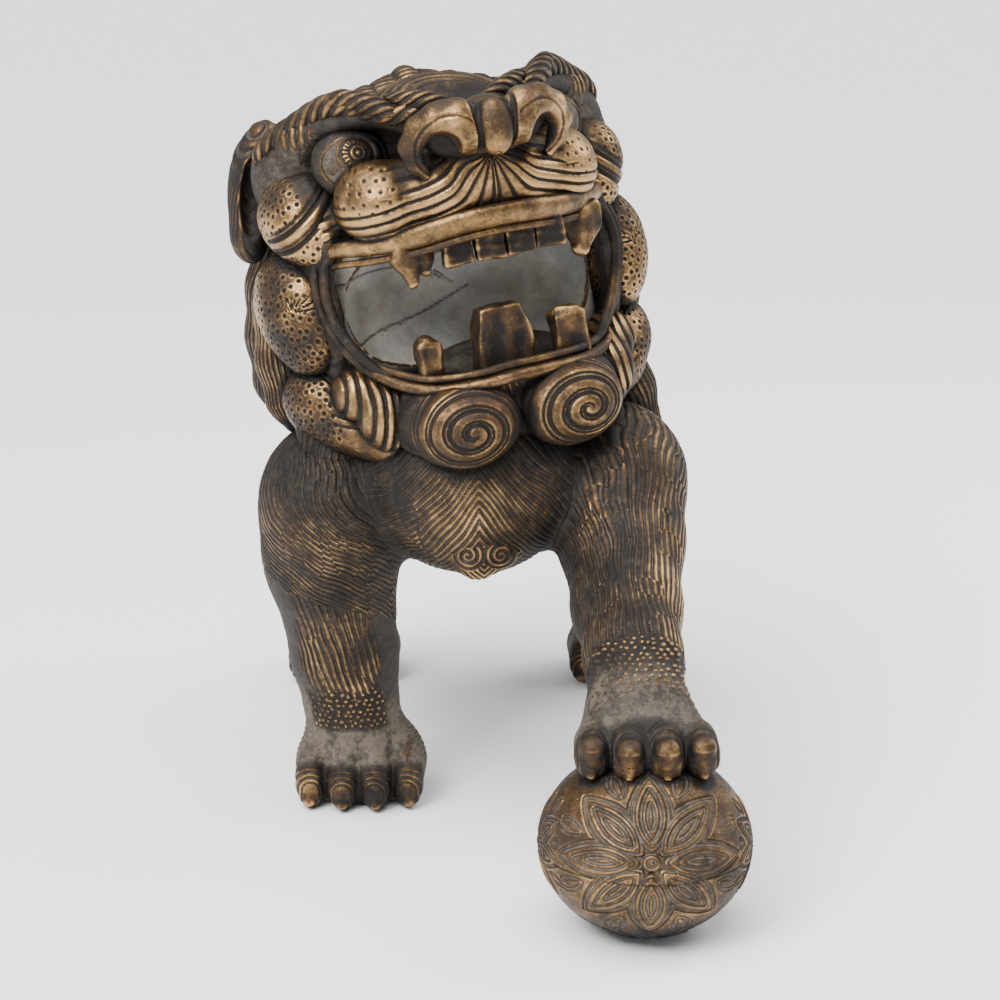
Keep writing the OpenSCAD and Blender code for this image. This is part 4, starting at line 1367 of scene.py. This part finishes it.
def tube_piece(name, path, radius, node, slot, strands_n=1, twist=0.0, gold=0.5, depth=0.06, flat=1.0,
               steps=90, around=48, dust=0.5):
    """A swept rope in the head's frame, whose strands wind round it. Depth is the share of the radius that
    the grooves take."""
    path = np.array(path, float)
    t, mid = smooth_path(path, steps)
    along = np.gradient(mid, axis=0)
    length = np.concatenate([[0], np.cumsum(np.linalg.norm(np.diff(mid, axis=0), axis=1))])
    along /= np.linalg.norm(along, axis=1, keepdims=True)
    ref = np.array([0.0, -0.5, 1.0])
    e1 = np.cross(along, ref)
    e1 /= np.linalg.norm(e1, axis=1, keepdims=True)
    e2 = np.cross(e1, along)
    rad = np.interp(t, np.arange(len(path)), radius) if np.ndim(radius) else np.full(steps, float(radius))
    end = np.minimum(length, length[-1] - length) / (rad.max() * 1.2)
    rad = rad * np.sqrt(np.clip(1 - (1 - np.clip(end, 0, 1)) ** 2, ROPE_TIP ** 2, 1))
    th = np.linspace(0, 2 * math.pi, around, endpoint=False)
    u = th[None] / (2 * math.pi) * strands_n + length[:, None] / (rad.mean() * 6.3) * strands_n * twist
    w = off_ridge(u)
    r = rad[:, None] * (1 - depth * w ** 2.4)
    v = mid[:, None] + r[..., None] * (np.cos(th)[None, :, None] * e1[:, None]
                                        + flat * np.sin(th)[None, :, None] * e2[:, None])
    nrm = (np.cos(th)[None, :, None] * e1[:, None] + np.sin(th)[None, :, None] * e2[:, None]).reshape(-1, 3)
    v = v.reshape(-1, 3)
    idx = np.arange(steps * around).reshape(steps, around)
    nxt = np.roll(idx, -1, 1)
    quads = np.stack([idx[:-1], nxt[:-1], nxt[1:], idx[1:]], -1).reshape(-1, 4)
    caps = []
    for row, flip in ((0, True), (steps - 1, False)):
        ring = idx[row]
        c = len(v)
        v = np.vstack([v, mid[row]])
        nrm = np.vstack([nrm, along[row] * (-1 if flip else 1)])
        for k in range(0, around, 2):
            qd = [ring[k], ring[(k + 1) % around], ring[(k + 2) % around], c]
            caps.append(qd[::-1] if flip else qd)
    quads = np.vstack([quads, caps])
    if (facing(v, quads) * nrm[quads[:, 0]]).sum() < 0:
        quads = quads[:, ::-1]
    uu = np.concatenate([u.ravel(), [0, 0]])
    ww = np.concatenate([w.ravel(), [0, 0]])
    many = float(strands_n > 1)
    strand = strand_vectors(uu, np.full(len(v), 0.9 * many))
    v = v @ HEAD.T + HEAD_AT
    nrm = nrm @ HEAD.T
    # how open each point is: closed places get thicker patina and painted shade
    sky = open_air(v, nrm)
    p = v.T.astype(F)
    wear_and_shade = np.stack([gold + 0.10 * waves(p, 18, 111), 0.2 + many * (0.2 - 1.0 * ww ** 2), sky], 1)
    wash = np.tile(np.array([dust, 0.0, 0.4]), (len(v), 1))
    return finish_piece(name, v, quads, strand, wear_and_shade, wash, node, slot)


# ---------------------------------------------------------------- build everything

def body_pieces():
    slot = "dark_bronze"
    carve("torso_body", torso_part, (-60, FRONT_Y - 6, 92), (60, REAR_Y + 6, 226), torso_pattern,
          "torso_shell", slot, cell=CELL * 1.12)
    boxes = {
        "front_right_leg": ((-100, SHOULDER_Y - 44, -1), (-18, SHOULDER_Y + 50, 184)),
        "front_left_leg": ((18, -172, 50), (102, SHOULDER_Y + 44, 184)),
        "hind_right_leg": ((-103, HAUNCH_Y - 56, -1), (-8, REAR_Y + 14, 186)),
        "hind_left_leg": ((8, HAUNCH_Y - 56, -1), (103, REAR_Y + 14, 186)),
    }
    for name, (lo, hi) in boxes.items():
        rear = 1.15 if name.startswith("hind") else 1.0
        carve(name + "_body", limb_part(name), lo, hi, leg_pattern(name), name, slot, cell=CELL * rear)
    make_ball()


def side_name(s):
    return "right" if s < 0 else "left"


def head_pieces():
    dark, gold = "dark_bronze", "gold_bronze"
    carve("skull_body", skull, (-74, -64, -66), (74, 70, 82), skull_pattern, "skull_shell", dark, local=True,
          shade=0.72)
    carve("jaw_body", jaw, (-60, -62, -76), (60, 16, -20), jaw_pattern, "lower_jaw", dark, local=True)
    carve("nose_body", nose, (-40, -80, 34), (40, -40, 80), nose_pattern, "nose", gold, cell=CELL * 0.8,
          local=True)
    for s in (-1, 1):
        n = side_name(s)

        def span(lo, hi):
            xs = sorted((lo[0] * s, hi[0] * s))
            return (xs[0], lo[1], lo[2]), (xs[1], hi[1], hi[2])

        def part(name, field, lo, hi, pattern, node, slot, cell=CELL):
            a, b = span(lo, hi)
            carve(name, at_side(field, s), a, b, pattern, node, slot, cell=cell, local=True)

        part(f"eye_{n}_ball", eye_field, (22, -36, 30), (60, 2, 68), eye_pattern(s), f"eye_{n}", dark)
        part(f"eye_{n}_lids", lid, (18, -38, 28), (62, 4, 70), plain_pattern(0.08, 0.15, 5, 3, 0.8, 0.6),
             None, dark)
        part(f"chin_curl_{n}_dome", chin_curl, (-4, -78, -74), (50, -26, -28), chin_pattern(s),
             f"chin_curl_{n}", gold)
        bounds = {1: ((42, -26, 6), (80, 24, 52)), 2: ((44, -26, -36), (84, 32, 22)),
                  3: ((28, -38, -74), (82, 24, -22)), 4: ((30, -48, -66), (68, -6, -24))}
        for k, field in cheek_curls.items():
            lo, hi = bounds[k]
            part(f"cheek_curl_{n}_{k}_lobe", field, lo, hi, curl_pattern(s, k), f"cheek_curl_{n}_{k}", gold)
        part(f"ear_{n}_leaf", ear_leaf, (50, 6, 0), (90, 44, 74), ear_pattern, f"ear_{n}", dark)
        for k, field in lock_fields.items():
            part(f"mane_lock_{n}_{k}_hair", field, *room(LOCKS[k], 2), lock_pattern(LOCKS[k], s, 200 + k * 3),
                 f"mane_lock_{n}_{k}", dark, cell=CELL * (1.0 if k < 3 else 1.15))
        for k, row in enumerate([BROW] + BROW_LEAVES):
            brow = np.array(row, float)
            tube_piece(f"brow_{n}_{k}", brow[:, :3] * [s, 1, 1], brow[:, 3], f"brow_{n}", gold, strands_n=5,
                       twist=0.8 * s, gold=0.36, depth=0.20, steps=150, around=56)
        rim = np.array(RIM, float) * [s, 1, 1]
        tube_piece(f"mouth_rim_{n}", rim, RIM_R, None, dark, gold=0.24, depth=0.1, steps=80, around=28,
                   dust=0.9)
        tube_piece(f"mouth_rim_{n}_outer", rim * [1.045, 1, 1.05] + [0, 3.4, 0], RIM_OUTER_R, None, dark,
                   gold=0.22, depth=0.1, steps=80, around=28, dust=0.9)
    for name, line, shift, radii, look in LIPS:
        tube_piece(name, np.array(line) + shift, radii, None, gold, **look)
    carve("mane_lock_back_hair", back_lock, *room(BACK_LOCK, 2), lock_pattern(BACK_LOCK, 1, 230),
          "mane_lock_back", dark, cell=CELL * 1.15, local=True)
    carve("crown_curls_row", crown, (-58, 16, 40), (58, 42, 80), crown_pattern, "crown_curls", dark,
          local=True)
    # back wall of the mouth
    bowl = cut(1.0, block((0, -5, -8.5), (53.5, 12, 30), 12), egg((0, -28, -8.5), (56.5, 33, 32.0)))
    carve("throat_bowl", bowl, (-56, -25, -41), (56, 9, 24), throat_pattern, "mouth_liner", "mouth_bronze",
          local=True, shade=0.35)
    teeth()


def throat_pattern(p, n):
    out = blank(p)
    lines = np.minimum.reduce([np.abs(p[2] + 12 - p[0] * 0.22 - 1.2 * np.sin(p[0] / 9)) + 30 * (p[0] > 6),
                               np.abs(p[2] - 6 - p[0] * 0.05 - 1.0 * np.sin(p[0] / 7 + 1)) + 30 * (p[0] > 18),
                               np.abs(p[0] + 8 + (p[2] + 2) * 1.3) + 30 * (np.abs(p[2]) > 8)])
    crack = bell(lines, 0.4)
    out["h"] += -0.6 * crack + 0.5 * waves(p, 22, 121)
    out["gold"] = 0.18 - 0.25 * crack
    out["grey"] = 1.0 - 0.9 * crack
    return out


def teeth():
    gold, dark = "gold_bronze", "dark_bronze"
    lean = turn_x(math.radians(-8))
    fangs = {
        "right": (cut(0.8, join(2.5, block((-29, -43.5, 16), (7.6, 4.0, 6), 2.5),
                                limb((-32, -43.5, 14), (-31, -46.5, 4.8), 5.4, 2.2),
                                limb((-24.5, -44, 14), (-25, -45, 8.5), 3.6, 2.0)),
                      egg((-27.4, -52.5, 8.5), (2.0, 5.5, 5.0)),
                      block((-29, -54.0, 12), (14, 5, 18), 0.8, lean)),
                  (-40, -55, -1), (-18, -38, 27)),
        "left": (cut(0.8, join(3.5, block((41, -39, 15.5), (8.0, 4.0, 6), 2.5),
                               limb((41.5, -39, 13), (38.5, -42.5, 4.6), 7.6, 3.8)),
                     block((41, -50.8, 12), (14, 5, 18), 0.8, turn_z(math.radians(22)))),
                 (29, -54, -1), (53, -32, 27)),
    }
    for n, (up, lo, hi) in fangs.items():
        carve(f"upper_fang_{n}_tooth", up, lo, hi, plain_pattern(0.50, 0.6, 5, 131, 0.1, 0.0, 0.8),
              f"upper_fang_{n}", gold, cell=CELL * 0.8, local=True)
    for s, at, half in ((-1, -29.0, 4.6), (1, 28.5, 7.0)):
        n = side_name(s)
        low = cut(0.8, join(2, block((at, -43, -30), (half, 4.6, 11.5), 1.8),
                            egg((at, -43, -20), (half * 0.85, 4.4, 5.0))),
                  block((at, -43, -9), (20, 20, 7), 1, turn_y(math.radians(9 * s))),
                  block((at - half - 4, -50, -22), (5, 9, 14), 1, turn_z(math.radians(30))),
                  block((at + half + 4, -50, -22), (5, 9, 14), 1, turn_z(math.radians(-30))))
        carve(f"lower_fang_{n}_tooth", low, (at - half - 2, -51, -44), (at + half + 2, -36, -12),
              plain_pattern(0.47, 0.7, 5, 133, 0.1, 0.0, 1.0), f"lower_fang_{n}", gold, cell=CELL * 0.8,
              local=True)
    front = []
    for i in range(4):
        k = i - 1.5
        front.append(block((k * INCISOR_PITCH + INCISOR_X, -54 + abs(k) * 2.0, 17.0), (5.8, 3.0, 7.8), 1.2))
    carve("upper_incisors_row", join(0, *front), (-26, -60, 5), (35, -44, 25), incisor_pattern,
          "upper_incisors", dark, cell=CELL * 0.8, local=True)
    centre = cut(0.9, block((1, -43, -26), (11.5, 6, 15.5), 1.8),
                 block((18.5, -43, -16), (8, 12, 19), 0.8, turn_y(math.radians(-13))),
                 block((-16.5, -43, -16), (8, 12, 19), 0.8, turn_y(math.radians(13))),
                 block((1, -55, -18), (20, 6, 18), 0.8, turn_x(math.radians(-10))))
    carve("lower_incisor_tooth", centre, (-13, -53, -42), (15, -33, -9),
          plain_pattern(0.41, 0.8, 6, 137, 0.1, 0.0, 1.0),
          "lower_incisor", gold, cell=CELL * 0.8, local=True)


def incisor_pattern(p, n):
    out = blank(p)
    k = (p[0] - INCISOR_X) / INCISOR_PITCH - 0.5
    off = np.abs(k - np.round(k)) * INCISOR_PITCH
    out["gold"] = 0.25 + 0.08 * step(4.5, 5.4, off) + 0.08 * step(12, 9.5, p[2]) + 0.06 * waves(p, 9, 138)
    out["h"] += 0.45 * waves(p, 5, 139) + 0.30 * waves(p, 3, 140)
    out["copper"] = np.full_like(k, 0.9)
    out["dust"] = np.full_like(k, 0.15)
    return out


PLUME = [(0, REAR_Y - 26, BODY_Z + 30, 14), (0, REAR_Y - 15, BODY_Z + 50, 14),
         (-4, REAR_Y - 18, BODY_Z + 80, 18.5), (-14, REAR_Y - 23, BODY_Z + 110, 18),
         (-24, REAR_Y - 31, 274, 15), (-31, REAR_Y - 38, 284, 10.5)]


def tail_pieces():
    plume = chain(PLUME, 8)
    pts = np.array(PLUME)

    def pattern(p, n):
        out = blank(p)
        cx = np.interp(p[2], pts[:, 2], pts[:, 0])
        cy = np.interp(p[2], pts[:, 2], pts[:, 1])
        a = np.arctan2(p[0] - cx, -(p[1] - cy))
        u = a / (2 * math.pi) * 34 + np.sin(p[2] / 14.0) * 1.2 + waves(p, 20, 141) * 0.5
        out = fur(out, u, np.full_like(u, 0.9), 0.9, 1.8)
        lobes = a / (2 * math.pi) * 8 + np.sin(p[2] / 14.0) * 0.5
        out["h"] += 1.4 * (np.abs(np.cos(lobes * math.pi)) ** 0.6) - 0.7
        out["gold"] = 0.22 + 0.12 * waves(p, 22, 142)
        return out

    carve("tail_plume_hair", plume, *room(PLUME, 3), pattern, "tail_plume", "dark_bronze", cell=CELL * 1.15)
    for s in (-1, 1):
        n = side_name(s)
        balls = [(s * 14, REAR_Y - 20, BODY_Z + 50, 10.5), (s * 26, REAR_Y - 22, BODY_Z + 62, 11),
                 (s * 28, REAR_Y - 24, BODY_Z + 78, 9)]
        c = np.array(balls)

        def curl(p, n_, c=c, s=s):
            out = blank(p)
            a = (p[0] - c[1][0]) * s
            b = p[2] - c[1][2] - 6
            u = spiral(a, b, 5.0, 1) + 0.2
            out = fur(out, u, np.full_like(u, 0.9), 1.0, 1.9)
            out["gold"] = np.full_like(u, 0.30)
            return out
        carve(f"tail_curl_{n}_hair", chain(balls, 5), *room(balls, 2), curl, f"tail_curl_{n}", "dark_bronze",
              cell=CELL * 1.15)


def tuft_piece():
    field = join(4, egg((1, FRONT_Y + 18, BODY_Z - 19), (17, 14, 12)),
                 egg((-1, FRONT_Y + 15, BODY_Z - 27), (7, 8, 6)))
    carve("chest_tuft_relief", field, (-26, FRONT_Y + 2, BODY_Z - 40), (26, FRONT_Y + 40, BODY_Z),
          tuft_pattern, "chest_tuft", "gold_bronze")


body_pieces()
tuft_piece()
head_pieces()
tail_pieces()

# The dowel is wholly inside the ball and the paw.
for pin_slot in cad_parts["ball_pin"].material_slots:
    pin_slot.material = MATS["gold_bronze"]


# ---------------------------------------------------------------- stage, lights, camera

FLOOR_HALF = 60.0                      # metres
FLOOR_GREY = 0.93
SKY_POWER = 0.70
LAMPS = (                              # name, kind, place, power, size or angle
    ("sun", "SUN", (-0.3, -0.5, 1.6), 5.0, 1.1),
    ("key", "AREA", (-0.55, -0.85, 0.95), 16, 0.5),
    ("rim", "AREA", (0.9, 0.35, 0.9), 8, 0.6),
)
LAMP_AIM = (0, -0.03, 0.15)
CAMERA_AT = (0.008, -0.927, 0.3516)
CAMERA_DIP = 13.6                      # degrees below level
LENS = 82.2                            # on a sensor 36 mm wide


def stage():
    me = bpy.data.meshes.new("floor")
    s = FLOOR_HALF
    me.from_pydata([(-s, -s, 0), (s, -s, 0), (s, s, 0), (-s, s, 0)], [], [(0, 1, 2, 3)])
    floor = bpy.data.objects.new("floor", me)
    bpy.context.scene.collection.objects.link(floor)
    g = Graph("pale_floor")
    g.bsdf.inputs["Base Color"].default_value = (FLOOR_GREY, FLOOR_GREY, FLOOR_GREY, 1)
    g.bsdf.inputs["Roughness"].default_value = 0.9
    me.materials.append(g.mat)
    world = bpy.data.worlds.new("studio")
    bpy.context.scene.world = world
    world.use_nodes = True
    world.node_tree.nodes["Background"].inputs[0].default_value = (1, 1, 1, 1)
    world.node_tree.nodes["Background"].inputs[1].default_value = SKY_POWER
    for name, kind, where, power, size in LAMPS:
        data = bpy.data.lights.new(name, kind)
        data.energy = power
        if kind == "SUN":
            data.angle = size
        else:
            data.size = size
        lamp = bpy.data.objects.new(name, data)
        lamp.location = where
        aim = np.array(LAMP_AIM) - np.array(where)
        lamp.rotation_euler = (math.acos(-aim[2] / np.linalg.norm(aim)), 0,
                               math.atan2(aim[1], aim[0]) - math.pi / 2)
        bpy.context.scene.collection.objects.link(lamp)


def camera():
    data = bpy.data.cameras.new("camera")
    data.sensor_width = 36
    data.lens = LENS
    data.clip_end = 50
    cam = bpy.data.objects.new("camera", data)
    cam.location = CAMERA_AT
    cam.rotation_euler = (math.radians(90 - CAMERA_DIP), 0, 0)
    bpy.context.scene.collection.objects.link(cam)
    bpy.context.scene.camera = cam


stage()
camera()
